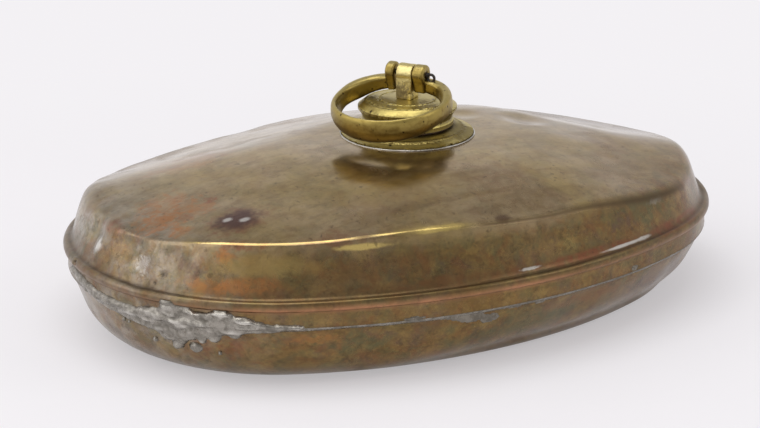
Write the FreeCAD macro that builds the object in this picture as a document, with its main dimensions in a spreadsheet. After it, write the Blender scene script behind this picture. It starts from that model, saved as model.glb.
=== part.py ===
import FreeCAD, Part
import Sketcher
import math
import os

# Oval sheet-metal hot water bottle with a screw cap and a ring handle.
# Millimetres and degrees. Z is up, the base stands on z = 0, the long axis lies along X.

Vector = FreeCAD.Vector
doc = FreeCAD.newDocument("hot_water_bottle")

# Driving sizes: alias, value, what it measures
SIZES = [
    ("body_length", 300, "oval over the bead, end to end"),
    ("body_width", 212, "oval over the bead, side to side"),
    ("end_radius", 94, "end arcs of the oval, over the bead"),
    ("sheet_gauge", 1.0, "thickness of the sheet"),
    ("solder_film", 0.06, "film of solder between soldered faces"),
    ("seam_height", 38, "centre of the bead above the base"),
    ("bead_radius", 2.2, "half height of the swaged bead"),
    ("wall_inset", 3.0, "foot of the upper wall behind the bead"),
    ("lap_inset", 1.8, "face of the skirt behind the bead"),
    ("lap_depth", 9.0, "edge of the skirt below the bead's centre"),
    ("upper_taper", 20, "lean of the upper wall"),
    ("crown_end_radius", 515, "curve of the crown along the bottle"),
    ("crown_side_radius", 280, "curve of the crown across the bottle"),
    ("seat_height", 75.7, "flat planished on the crown for the collar"),
    ("crown_rise", 2.2, "peak of the crown's curve above that flat"),
    ("shoulder_radius", 8, "round between wall and crown"),
    ("lower_taper", 19, "lean of the lower wall"),
    ("base_radius", 24, "round between lower wall and base"),
    ("seam_leg", 2.2, "height of the solder fillet under the skirt"),
    ("seam_lip", 0.3, "thickness left at the fillet's lower edge"),
    ("repair_bearing", 184, "bearing where the solder repair starts"),
    ("repair_angle", 56, "angle that the solder repair covers"),
    ("repair_drop", 7.5, "height of the solder repair"),
    ("repair_bulge", 2.4, "thickness of the solder repair"),
    ("collar_x", 5, "collar's place along the bottle"),
    ("collar_y", -3, "collar's place across the bottle"),
    ("flange_radius", 29, "outside of the collar's flange"),
    ("flange_edge", 0.9, "thickness of the flange at its rim"),
    ("step_radius", 25, "turned step on the flange"),
    ("step_height", 2.0, "foot of the step above the seat"),
    ("step_rise", 0.7, "height of the step"),
    ("neck_radius", 20.6, "top face of the collar"),
    ("neck_height", 3.6, "top face of the collar above the seat"),
    ("spigot_radius", 18, "part of the collar that goes through the crown"),
    ("spigot_depth", 5, "its length below the seat"),
    ("spigot_gap", 0.15, "gap between the spigot and its hole"),
    ("collar_leg", 1.8, "width of the solder fillet round the flange"),
    ("thread_pitch", 3, "rise of the cap in one turn"),
    ("thread_radius", 14.5, "crest of the plug's thread"),
    ("thread_depth", 1.3, "depth of the thread"),
    ("thread_gap", 0.3, "play between the two threads"),
    ("ridge_crest", 0.8, "width of the plug's ridge at its crest"),
    ("ridge_root", 1.6, "width of the plug's ridge at its root"),
    ("washer_gauge", 1.2, "thickness of the washer"),
    ("washer_radius", 19.2, "outside of the washer"),
    ("washer_bore", 15.2, "hole in the washer"),
    ("plug_length", 11, "plug below the cap's underside"),
    ("plug_bore", 10.5, "hollow of the plug"),
    ("hollow_height", 5.5, "roof of the hollow above the underside"),
    ("relief_length", 2.6, "plain neck above the thread"),
    ("cap_foot_radius", 20.3, "small bead at the cap's foot"),
    ("cap_foot_height", 1.6, "height of that bead"),
    ("cap_waist_radius", 19.6, "waist of the cap"),
    ("cap_waist_height", 3.0, "waist above the underside"),
    ("cap_rim_radius", 21.7, "widest part of the cap"),
    ("cap_rim_height", 6.6, "lower edge of the rim above the underside"),
    ("cap_rim_edge", 1.1, "thickness of the rim"),
    ("cap_flare", 9, "radius of the hollow side under the rim"),
    ("cap_top_radius", 18.7, "inner edge of the chamfer on the rim"),
    ("cap_top_height", 10.1, "its height above the underside"),
    ("ring_groove", 0.45, "depth and half width of the turned rings"),
    ("outer_groove", 17.6, "radius of the outer turned ring"),
    ("inner_groove", 12.4, "radius of the inner turned ring"),
    ("boss_foot", 8.2, "foot of the boss under the lug"),
    ("boss_radius", 6.2, "top of the boss"),
    ("boss_rise", 0.8, "foot of the boss above the chamfer's edge"),
    ("boss_height", 11.0, "top of the boss above the underside"),
    ("pin_height", 22.1, "pin's axis above the cap's underside"),
    ("cap_bearing", 124, "bearing of the pin's axis when screwed home"),
    ("lug_width", 7.2, "lug along the pin"),
    ("lug_radius", 4.2, "eye of the lug"),
    ("lug_foot", 4.0, "half depth of the lug at its foot"),
    ("tail_radius", 3.2, "tail of the lug through the cap"),
    ("tail_gap", 0.05, "gap between the tail and its hole"),
    ("rivet_radius", 5, "peened end of the tail"),
    ("rivet_height", 1.6, "height of the peened end"),
    ("ring_radius", 24.2, "middle of the ring's band"),
    ("ring_gauge", 3.4, "thickness of the band"),
    ("ring_width", 11.6, "width of the band at the ring's far end"),
    ("ring_root", 6.0, "width of the band at the knuckles"),
    ("ring_round", 1.5, "rounded edges of the band"),
    ("ring_corner", 10, "corners where the ring turns in to its knuckles"),
    ("ring_reach", 18.7, "pin's axis to the centre of the ring"),
    ("ring_drop", 7.3, "pin's axis above the middle of the band"),
    ("ring_tilt", 11.8, "droop of the ring where its arms rest on the cap"),
    ("knuckle_radius", 4.0, "knuckles of the ring"),
    ("knuckle_foot", 3.0, "half depth of a knuckle where it stands on the band"),
    ("knuckle_width", 3.2, "knuckle along the pin"),
    ("knuckle_gap", 1.9, "play between the far knuckle and the lug"),
    ("near_gap", 0.6, "play between the near knuckle and the lug"),
    ("pin_radius", 1.15, "shank of the pin"),
    ("pin_gap", 0.06, "play of the pin in its holes"),
    ("pin_stand", 1.6, "shank that stands out towards the eye"),
    ("eye_radius", 1.6, "middle of the wire in the pin's eye"),
    ("eye_drop", 1.2, "centre of the eye below the pin's axis"),
    ("wire_radius", 0.6, "wire of the pin's eye"),
    ("head_gap", 0.3, "play between the pin's head and the knuckle"),
    ("head_radius", 1.9, "peened head of the pin"),
    ("head_height", 0.8, "its height"),
]

# Drops of solder on the lower wall: bearing of the wall there, height as a share of
# the skirt's edge, radius as a share of the repair's thickness
DROPS = [
    ("drop_a", 205.5, 0.586, 0.45),
    ("drop_b", 212.0, 0.572, 0.80),
    ("drop_c", 218.0, 0.580, 0.85),
    ("drop_d", 226.0, 0.570, 0.40),
]

sheet = doc.addObject("Spreadsheet::Sheet", "dims")
for row, (alias, value, meaning) in enumerate(SIZES, 1):
    sheet.set("A%d" % row, meaning)
    sheet.set("B%d" % row, str(value))
    sheet.setAlias("B%d" % row, alias)
doc.recompute()

SIDE_RADIUS = (
    "((dims.body_length / 2) ^ 2 - dims.body_length * dims.end_radius + (dims.body_width / 2) ^ 2)"
    " / (dims.body_width - 2 * dims.end_radius)"
)
END_CENTRE = "dims.body_length / 2 - dims.end_radius"
SIDE_CENTRE = SIDE_RADIUS + " - dims.body_width / 2"
LAP_EDGE = "(dims.seam_height - dims.lap_depth)"
CROWN_TOP = "(dims.seat_height + dims.crown_rise)"
UPSTAND_INSET = "(dims.lap_inset + dims.sheet_gauge + dims.solder_film)"
CAP_UNDERSIDE = "(dims.seat_height + dims.neck_height + dims.washer_gauge)"
THREAD_ROOT = "(dims.thread_radius - dims.thread_depth)"
KNUCKLE_INNER = "(dims.lug_width / 2 + dims.knuckle_gap)"
KNUCKLE_OUTER = "(" + KNUCKLE_INNER + " + dims.knuckle_width)"
NEAR_INNER = "(dims.lug_width / 2 + dims.near_gap)"
RING_END = "(dims.ring_reach + dims.ring_radius + dims.ring_gauge)"


# Helpers for sketches and features

def number(expression):
    result = sheet.evalExpression(expression)
    return float(getattr(result, "Value", result))


def new_body(name):
    return doc.addObject("PartDesign::Body", name)


def new_sketch(body, name, role, offset="0"):
    sketch = body.newObject("Sketcher::SketchObject", name)
    plane = next(item for item in body.Origin.OriginFeatures if item.Role == role)
    sketch.AttachmentSupport = [(plane, "")]
    sketch.MapMode = "FlatFace"
    sketch.setExpression("AttachmentOffset.Base.z", offset)
    return sketch


def bind(sketch, kind, places, expression):
    index = sketch.addConstraint(Sketcher.Constraint(kind, *places, number(expression)))
    sketch.setExpression("Constraints[%d]" % index, expression)


def arc(sketch, centre, radius, start, end):
    circle = Part.Circle(Vector(centre[0], centre[1], 0), Vector(0, 0, 1), radius)
    return sketch.addGeometry(Part.ArcOfCircle(circle, start, end), False)


def draw_circle(sketch, across, along, radius):
    centre = Vector(number(across), number(along), 0)
    circle = sketch.addGeometry(Part.Circle(centre, Vector(0, 0, 1), number(radius)), False)
    bind(sketch, "DistanceX", (-1, 1, circle, 3), across)
    bind(sketch, "DistanceY", (-1, 1, circle, 3), along)
    bind(sketch, "Radius", (circle,), radius)


def draw_outline(sketch, corners):
    # A corner is (across, along), or (across, along, radius) where an arc that
    # curves to the right of the direction of travel leads on to the next corner.
    points = [Vector(number(corner[0]), number(corner[1]), 0) for corner in corners]
    sides = []
    for index, corner in enumerate(corners):
        start = points[index]
        end = points[(index + 1) % len(points)]
        if len(corner) == 2:
            sides.append((sketch.addGeometry(Part.LineSegment(start, end), False), 1, 2))
            continue
        radius = number(corner[2])
        chord = end - start
        height = math.sqrt(radius ** 2 - (chord.Length / 2) ** 2)
        across = Vector(chord.y, -chord.x, 0).normalize()
        centre = (start + end) * 0.5 + across * height
        first = math.atan2(end.y - centre.y, end.x - centre.x)
        last = math.atan2(start.y - centre.y, start.x - centre.x)
        sides.append((arc(sketch, centre, radius, first, last), 2, 1))
    for index, corner in enumerate(corners):
        before = sides[index - 1]
        side = sides[index]
        sketch.addConstraint(Sketcher.Constraint("Coincident", before[0], before[2], side[0], side[1]))
        bind(sketch, "DistanceX", (-1, 1, side[0], side[1]), corner[0])
        bind(sketch, "DistanceY", (-1, 1, side[0], side[1]), corner[1])
        if len(corner) == 3:
            bind(sketch, "Radius", (side[0],), corner[2])


def draw_oval(body, name, height, inset):
    # Four-centre oval that runs at one distance inside the bead's outline
    sketch = new_sketch(body, name, "XY_Plane", height)
    end_centre = number(END_CENTRE)
    side_centre = number(SIDE_CENTRE)
    end_radius = number("dims.end_radius - (%s)" % inset)
    side_radius = number("%s - (%s)" % (SIDE_RADIUS, inset))
    turn = math.atan2(side_centre, end_centre)
    arc(sketch, (end_centre, 0), end_radius, -turn, turn)
    arc(sketch, (0, -side_centre), side_radius, turn, math.pi - turn)
    arc(sketch, (-end_centre, 0), end_radius, math.pi - turn, math.pi + turn)
    arc(sketch, (0, side_centre), side_radius, math.pi + turn, 2 * math.pi - turn)
    for index in range(4):
        sketch.addConstraint(Sketcher.Constraint("Tangent", index, 2, (index + 1) % 4, 1))
    sketch.addConstraint(Sketcher.Constraint("PointOnObject", 0, 3, -1))
    sketch.addConstraint(Sketcher.Constraint("PointOnObject", 2, 3, -1))
    sketch.addConstraint(Sketcher.Constraint("PointOnObject", 1, 3, -2))
    bind(sketch, "DistanceX", (-1, 1, 0, 3), END_CENTRE)
    bind(sketch, "DistanceX", (2, 3, -1, 1), END_CENTRE)
    bind(sketch, "DistanceY", (1, 3, -1, 1), SIDE_CENTRE)
    bind(sketch, "DistanceY", (-1, 1, 3, 3), SIDE_CENTRE)
    bind(sketch, "Radius", (0,), "dims.end_radius - (%s)" % inset)
    return sketch


def add_pad(body, sketch, length, reverse=False, middle=False, taper=None):
    feature = body.newObject("PartDesign::Pad", sketch.Name + "_pad")
    feature.Profile = sketch
    feature.Reversed = reverse
    feature.Midplane = middle
    feature.setExpression("Length", length)
    if taper:
        feature.setExpression("TaperAngle", taper)
    doc.recompute()
    return feature


def add_pocket(body, sketch):
    feature = body.newObject("PartDesign::Pocket", sketch.Name + "_pocket")
    feature.Profile = sketch
    feature.Type = "ThroughAll"
    feature.Midplane = True
    doc.recompute()
    return feature


def add_turning(body, sketch):
    feature = body.newObject("PartDesign::Revolution", sketch.Name + "_turned")
    feature.Profile = sketch
    feature.ReferenceAxis = (sketch, ["V_Axis"])
    feature.Angle = 360
    doc.recompute()
    return feature


def add_fillet(body, base, wanted, radius):
    names = []
    for index, edge in enumerate(base.Shape.Edges, 1):
        if wanted(edge.BoundBox):
            names.append("Edge%d" % index)
    feature = body.newObject("PartDesign::Fillet", base.Name + "_round")
    feature.Base = (base, names)
    feature.setExpression("Radius", radius)
    doc.recompute()
    return feature


def add_thread_groove(body, sketch, height):
    feature = body.newObject("PartDesign::SubtractiveHelix", sketch.Name + "_helix")
    feature.Profile = sketch
    feature.ReferenceAxis = (sketch, ["V_Axis"])
    feature.Mode = "pitch-height-angle"
    feature.setExpression("Pitch", "dims.thread_pitch")
    feature.setExpression("Height", height)
    doc.recompute()
    return feature


def cut(name, outside, inside):
    feature = doc.addObject("Part::Cut", name)
    feature.Base = outside
    feature.Tool = inside
    doc.recompute()
    return feature


def on_collar(height, tilt=0.0):
    # Frame on the collar's axis, X along the ring's pin, Y towards the ring's far end
    turn = FreeCAD.Rotation(Vector(0, 0, 1), number("dims.cap_bearing"))
    droop = FreeCAD.Rotation(Vector(1, 0, 0), -tilt)
    place = Vector(number("dims.collar_x"), number("dims.collar_y"), number(height))
    return FreeCAD.Placement(place, turn.multiply(droop))


# Upper shell: one block for its outside and one, a sheet smaller, for its inside

def crown_cutter(body, skin):
    sketch = new_sketch(body, body.Name + "_crown", "YZ_Plane")
    reach = "(0.6 * dims.body_width)"
    top = CROWN_TOP + " + dims.body_width / 4"
    radius = "(dims.crown_side_radius - (%s))" % skin
    half = number(reach)
    centre = number(CROWN_TOP + " - dims.crown_side_radius")
    rise = math.sqrt(number(radius) ** 2 - half ** 2)
    start = math.atan2(rise, half)
    arc(sketch, (0, centre), number(radius), start, math.pi - start)
    path = [(-half, centre + rise), (-half, number(top)), (half, number(top)), (half, centre + rise)]
    for first, last in zip(path, path[1:]):
        sketch.addGeometry(Part.LineSegment(Vector(*first, 0), Vector(*last, 0)), False)
    axis_height = number(CROWN_TOP + " - dims.crown_end_radius")
    line = Part.LineSegment(Vector(-half, axis_height, 0), Vector(half, axis_height, 0))
    axis = sketch.addGeometry(line, True)
    for index in range(4):
        sketch.addConstraint(Sketcher.Constraint("Coincident", index, 2, (index + 1) % 4, 1))
    for kind, side in (("Vertical", 1), ("Horizontal", 2), ("Vertical", 3), ("Horizontal", axis)):
        sketch.addConstraint(Sketcher.Constraint(kind, side))
    sketch.addConstraint(Sketcher.Constraint("PointOnObject", 0, 3, -2))
    bind(sketch, "DistanceY", (0, 3, -1, 1), "dims.crown_side_radius - " + CROWN_TOP)
    bind(sketch, "Radius", (0,), radius)
    bind(sketch, "DistanceX", (-1, 1, 0, 1), reach)
    bind(sketch, "DistanceX", (0, 2, -1, 1), reach)
    bind(sketch, "DistanceY", (-1, 1, 2, 1), top)
    bind(sketch, "DistanceY", (axis, 1, -1, 1), "dims.crown_end_radius - " + CROWN_TOP)
    bind(sketch, "DistanceX", (axis, 1, -1, 1), reach)
    bind(sketch, "DistanceX", (-1, 1, axis, 2), reach)
    feature = body.newObject("PartDesign::Groove", sketch.Name + "_groove")
    feature.Profile = sketch
    feature.ReferenceAxis = (sketch, ["Axis0"])
    feature.Midplane = True
    feature.setExpression("Angle", "4 * asin(dims.body_length / 2 / dims.crown_end_radius)")
    doc.recompute()
    return feature


def dome_block(name, skin, skirt):
    body = new_body(name)
    bead = draw_oval(body, name + "_bead", "dims.seam_height", skin)
    bead_pad = add_pad(body, bead, "2 * (dims.bead_radius - (%s))" % skin, middle=True)
    add_fillet(body, bead_pad, lambda box: box.ZLength < 0.01, "0.95 * (dims.bead_radius - (%s))" % skin)
    wall = draw_oval(body, name + "_wall", "dims.seam_height", "dims.wall_inset + (%s)" % skin)
    wall_length = "dims.seat_height - dims.seam_height - (%s)" % skin
    add_pad(body, wall, wall_length, taper="-dims.upper_taper")
    crown = crown_cutter(body, skin)
    low = number("dims.seam_height + 3 * dims.bead_radius")
    high = number("dims.seat_height - dims.sheet_gauge") - 0.5
    shoulder = "dims.shoulder_radius - (%s)" % skin
    add_fillet(body, crown, lambda box: box.ZMin > low and box.ZMax < high, shoulder)
    lap = draw_oval(body, name + "_lap", "dims.seam_height", "dims.lap_inset + (%s)" % skin)
    add_pad(body, lap, skirt, reverse=True)
    return body


def make_upper_shell():
    outside = dome_block("dome_outside", "0", "dims.lap_depth")
    inside = dome_block("dome_inside", "dims.sheet_gauge", "dims.lap_depth + 2 * dims.sheet_gauge")
    skin = cut("dome_skin", outside, inside)
    hole = doc.addObject("Part::Cylinder", "collar_hole")
    hole.setExpression("Radius", "dims.spigot_radius + dims.spigot_gap")
    hole.setExpression("Height", "dims.spigot_depth + dims.neck_height")
    hole.setExpression("Placement.Base.x", "dims.collar_x")
    hole.setExpression("Placement.Base.y", "dims.collar_y")
    hole.setExpression("Placement.Base.z", "dims.seat_height - dims.spigot_depth")
    return cut("upper_shell", skin, hole)


# Lower shell and the solder that joins the two

def pan_block(name, skin, top):
    body = new_body(name)
    inset = "%s + (%s)" % (UPSTAND_INSET, skin)
    upstand = draw_oval(body, name + "_upstand", LAP_EDGE, inset)
    add_pad(body, upstand, "dims.lap_depth + (%s)" % top)
    wall = draw_oval(body, name + "_wall", LAP_EDGE, inset)
    pan = add_pad(body, wall, "%s - (%s)" % (LAP_EDGE, skin), reverse=True, taper="-dims.lower_taper")
    floor = number(skin)
    radius = "dims.base_radius - (%s)" % skin
    add_fillet(body, pan, lambda box: abs(box.ZMax - floor) < 0.01, radius)
    return body


def make_lower_shell():
    outside = pan_block("pan_outside", "0", "0")
    inside = pan_block("pan_inside", "dims.sheet_gauge", "2 * dims.sheet_gauge")
    return cut("lower_shell", outside, inside)


def make_seam_solder():
    fillet = new_body("seam_fillet")
    top = LAP_EDGE + " - dims.solder_film"
    oval = draw_oval(fillet, "seam_oval", top, "dims.lap_inset")
    narrow = "(dims.sheet_gauge + dims.solder_film - dims.seam_lip) / dims.seam_leg"
    taper = "-atan(%s + tan(dims.lower_taper))" % narrow
    add_pad(fillet, oval, "dims.seam_leg", reverse=True, taper=taper)
    wetted = pan_block("seam_wetted", "-dims.solder_film", "0")
    return cut("seam_solder", fillet, wetted)


def wall_inset(height):
    # Lower wall behind the bead at a height above its base round
    return "(%s + (%s - (%s)) * tan(dims.lower_taper))" % (UPSTAND_INSET, LAP_EDGE, height)


def wall_point(bearing, height):
    # Point of the lower wall where it faces the bearing
    end_centre = number(END_CENTRE)
    side_centre = number(SIDE_CENTRE)
    out = Vector(math.cos(bearing), math.sin(bearing), 0)
    if abs(out.y) * end_centre < abs(out.x) * side_centre:
        centre = Vector(math.copysign(end_centre, out.x), 0, height)
        radius = number("dims.end_radius")
    else:
        centre = Vector(0, -math.copysign(side_centre, out.y), height)
        radius = number(SIDE_RADIUS)
    return centre + out * (radius - number(wall_inset(str(height))))


def make_solder_repair():
    # Swollen strip that follows the wall, kept between two bearings
    strip = new_body("repair_strip")
    top = "(%s - dims.seam_leg - 2 * dims.solder_film)" % LAP_EDGE
    middle = "(%s - dims.repair_drop / 2)" % top
    half = "dims.repair_drop / 2"
    swollen = "%s - dims.repair_bulge" % wall_inset(middle)
    lean = "tan(dims.lower_taper)"
    upper = draw_oval(strip, "repair_upper", middle, swollen)
    rise = "atan(dims.repair_bulge / dims.repair_drop - %s)" % lean
    add_pad(strip, upper, half, taper="-" + rise)
    lower = draw_oval(strip, "repair_lower", middle, swollen)
    fall = "atan((dims.repair_bulge - dims.seam_lip) / (%s) + %s)" % (half, lean)
    add_pad(strip, lower, half, reverse=True, taper="-" + fall)
    wetted = pan_block("repair_wetted", "-dims.solder_film", "0")
    band = cut("repair_band", strip, wetted)
    sector = doc.addObject("Part::Cylinder", "repair_sector")
    sector.setExpression("Radius", "dims.body_length")
    sector.setExpression("Height", "dims.seam_height")
    sector.setExpression("Angle", "dims.repair_angle")
    turn = FreeCAD.Rotation(Vector(0, 0, 1), number("dims.repair_bearing"))
    sector.Placement = FreeCAD.Placement(Vector(-number(END_CENTRE), 0, 0), turn)
    feature = doc.addObject("Part::Common", "solder_repair")
    feature.Base = band
    feature.Tool = sector
    doc.recompute()
    return feature


def make_solder_splashes():
    drops = []
    taper = math.radians(number("dims.lower_taper"))
    for name, bearing, level, size in DROPS:
        drop = doc.addObject("Part::Sphere", name)
        drop.setExpression("Radius", "%s * dims.repair_bulge" % size)
        drop.Angle1 = 0
        around = math.radians(bearing)
        out = Vector(math.cos(around) * math.cos(taper), math.sin(around) * math.cos(taper), -math.sin(taper))
        foot = wall_point(around, number("%s * %s" % (level, LAP_EDGE)))
        place = foot + out * number("dims.solder_film")
        drop.Placement = FreeCAD.Placement(place, FreeCAD.Rotation(Vector(0, 0, 1), out))
        drops.append(drop)
    group = doc.addObject("Part::Compound", "solder_splashes")
    group.Links = drops
    doc.recompute()
    return group


# Collar, washer and cap

def thread_section(body, name, height, inner, inner_width, outer, outer_width):
    sketch = new_sketch(body, name, "XZ_Plane")
    draw_outline(sketch, [
        (inner, "%s - (%s) / 2" % (height, inner_width)),
        (outer, "%s - (%s) / 2" % (height, outer_width)),
        (outer, "%s + (%s) / 2" % (height, outer_width)),
        (inner, "%s + (%s) / 2" % (height, inner_width)),
    ])
    return sketch


def make_filler_collar():
    body = new_body("filler_collar")
    bore = "%s + dims.thread_gap" % THREAD_ROOT
    section = new_sketch(body, "collar_section", "XZ_Plane")
    draw_outline(section, [
        (bore, "-dims.spigot_depth"),
        ("dims.spigot_radius", "-dims.spigot_depth"),
        ("dims.spigot_radius", "0"),
        ("dims.flange_radius", "0"),
        ("dims.flange_radius", "dims.flange_edge"),
        ("dims.step_radius", "dims.step_height"),
        ("dims.step_radius - dims.step_rise / 2", "dims.step_height + dims.step_rise"),
        ("dims.neck_radius", "dims.neck_height"),
        (bore, "dims.neck_height"),
    ])
    add_turning(body, section)
    lead = "dims.neck_height + dims.washer_gauge"
    turns = "(ceil((%s + dims.spigot_depth) / dims.thread_pitch) + 1)" % lead
    slope = "(dims.ridge_root - dims.ridge_crest) / dims.thread_depth"
    play = "2 * dims.thread_gap"
    groove = thread_section(
        body, "collar_thread", "%s - %s * dims.thread_pitch" % (lead, turns),
        "%s - dims.thread_gap" % bore, "dims.ridge_root + %s" % play,
        "dims.thread_radius + dims.thread_gap", "dims.ridge_crest - dims.thread_gap * %s + %s" % (slope, play))
    add_thread_groove(body, groove, "(%s + 0.5) * dims.thread_pitch" % turns)
    body.Placement = on_collar("dims.seat_height")
    doc.recompute()
    return body


def make_collar_solder():
    body = new_body("collar_solder")
    section = new_sketch(body, "collar_fillet", "XZ_Plane")
    inner = "dims.flange_radius + dims.solder_film"
    draw_outline(section, [
        (inner, "0"),
        ("%s + dims.collar_leg" % inner, "0"),
        ("%s + dims.collar_leg" % inner, "dims.solder_film"),
        (inner, "dims.flange_edge"),
    ])
    add_turning(body, section)
    body.Placement = on_collar("dims.seat_height")
    doc.recompute()
    return body


def make_cap_washer():
    body = new_body("cap_washer")
    section = new_sketch(body, "washer_face", "XY_Plane")
    draw_circle(section, "0", "0", "dims.washer_radius")
    draw_circle(section, "0", "0", "dims.washer_bore")
    add_pad(body, section, "dims.washer_gauge")
    body.Placement = on_collar("dims.seat_height + dims.neck_height")
    doc.recompute()
    return body


def make_screw_cap():
    body = new_body("screw_cap")
    tail_hole = "dims.tail_radius + dims.tail_gap"
    relief = "%s - dims.thread_gap" % THREAD_ROOT
    run = "(dims.boss_rise / (dims.cap_top_radius - dims.boss_foot))"

    def top_height(radius):
        return "dims.cap_top_height + (dims.cap_top_radius - (%s)) * %s" % (radius, run)

    corners = [
        (tail_hole, "dims.hollow_height"),
        ("dims.plug_bore", "dims.hollow_height"),
        ("dims.plug_bore", "-dims.plug_length"),
        ("dims.thread_radius", "-dims.plug_length"),
        ("dims.thread_radius", "-dims.relief_length"),
        (relief, "-dims.relief_length"),
        (relief, "0"),
        ("dims.cap_foot_radius", "0"),
        ("dims.cap_foot_radius", "dims.cap_foot_height"),
        ("dims.cap_waist_radius", "dims.cap_waist_height", "dims.cap_flare"),
        ("dims.cap_rim_radius", "dims.cap_rim_height"),
        ("dims.cap_rim_radius", "dims.cap_rim_height + dims.cap_rim_edge"),
        ("dims.cap_top_radius", "dims.cap_top_height"),
    ]
    for groove in ("dims.outer_groove", "dims.inner_groove"):
        for shift, depth in (("dims.ring_groove", "0"), ("0", "dims.ring_groove"), ("-dims.ring_groove", "0")):
            radius = "%s + %s" % (groove, shift)
            corners.append((radius, "%s - %s" % (top_height(radius), depth)))
    corners += [
        ("dims.boss_foot", top_height("dims.boss_foot")),
        ("dims.boss_radius", "dims.boss_height"),
        (tail_hole, "dims.boss_height"),
    ]
    section = new_sketch(body, "cap_section", "XZ_Plane")
    draw_outline(section, corners)
    add_turning(body, section)
    start = "(ceil(dims.plug_length / dims.thread_pitch) + 0.5) * dims.thread_pitch"
    slope = "(dims.ridge_root - dims.ridge_crest) / dims.thread_depth"
    groove = thread_section(
        body, "plug_thread", "-%s" % start,
        THREAD_ROOT, "dims.thread_pitch - dims.ridge_root",
        "dims.thread_radius + dims.thread_gap", "dims.thread_pitch - dims.ridge_crest + dims.thread_gap * %s" % slope)
    add_thread_groove(body, groove, "%s - dims.relief_length / 2" % start)
    body.Placement = on_collar(CAP_UNDERSIDE)
    doc.recompute()
    return body


# Lug, ring and pin

def make_ring_lug():
    body = new_body("ring_lug")
    eye = new_sketch(body, "lug_eye", "YZ_Plane")
    draw_circle(eye, "0", "dims.pin_height", "dims.lug_radius")
    add_pad(body, eye, "dims.lug_width", middle=True)
    stem = new_sketch(body, "lug_stem", "YZ_Plane")
    draw_outline(stem, [
        ("-dims.lug_foot", "dims.boss_height"),
        ("dims.lug_foot", "dims.boss_height"),
        ("0.94 * dims.lug_radius", "dims.pin_height"),
        ("-0.94 * dims.lug_radius", "dims.pin_height"),
    ])
    add_pad(body, stem, "dims.lug_width", middle=True)
    tail = new_sketch(body, "lug_tail", "XZ_Plane")
    under = "dims.hollow_height - dims.tail_gap"
    draw_outline(tail, [
        ("0", "%s - dims.rivet_height" % under),
        ("0.7 * dims.rivet_radius", "%s - dims.rivet_height" % under),
        ("dims.rivet_radius", under),
        ("dims.tail_radius", under),
        ("dims.tail_radius", "dims.boss_height + dims.tail_gap"),
        ("0", "dims.boss_height + dims.tail_gap"),
    ])
    add_turning(body, tail)
    hole = new_sketch(body, "lug_hole", "YZ_Plane")
    draw_circle(hole, "0", "dims.pin_height", "dims.pin_radius + dims.pin_gap")
    add_pocket(body, hole)
    body.Placement = on_collar(CAP_UNDERSIDE)
    doc.recompute()
    return body


def draw_ring_outline(sketch, grow):
    # Round ring flattened where it turns in to its knuckles
    big = number("dims.ring_radius + (%s)" % grow)
    small = number("dims.ring_corner + (%s)" % grow)
    reach = number("dims.ring_reach")
    corner_y = number("dims.ring_corner")
    corner_x = math.sqrt((big - small) ** 2 - (reach - corner_y) ** 2)
    lean = math.atan2(corner_y - reach, corner_x)
    first = arc(sketch, (0, reach), big, lean, math.pi - lean)
    left = arc(sketch, (-corner_x, corner_y), small, math.pi - lean, 1.5 * math.pi)
    back = sketch.addGeometry(
        Part.LineSegment(Vector(-corner_x, corner_y - small, 0), Vector(corner_x, corner_y - small, 0)), False)
    right = arc(sketch, (corner_x, corner_y), small, -0.5 * math.pi, lean)
    for before, after in ((first, left), (left, back), (back, right), (right, first)):
        sketch.addConstraint(Sketcher.Constraint("Tangent", before, 2, after, 1))
    sketch.addConstraint(Sketcher.Constraint("PointOnObject", first, 3, -2))
    sketch.addConstraint(Sketcher.Constraint("Horizontal", back))
    bind(sketch, "DistanceY", (-1, 1, first, 3), "dims.ring_reach")
    bind(sketch, "DistanceY", (-1, 1, back, 1), "-(%s)" % grow)
    bind(sketch, "Radius", (first,), "dims.ring_radius + (%s)" % grow)
    bind(sketch, "Radius", (left,), "dims.ring_corner + (%s)" % grow)
    bind(sketch, "Radius", (right,), "dims.ring_corner + (%s)" % grow)


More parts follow.
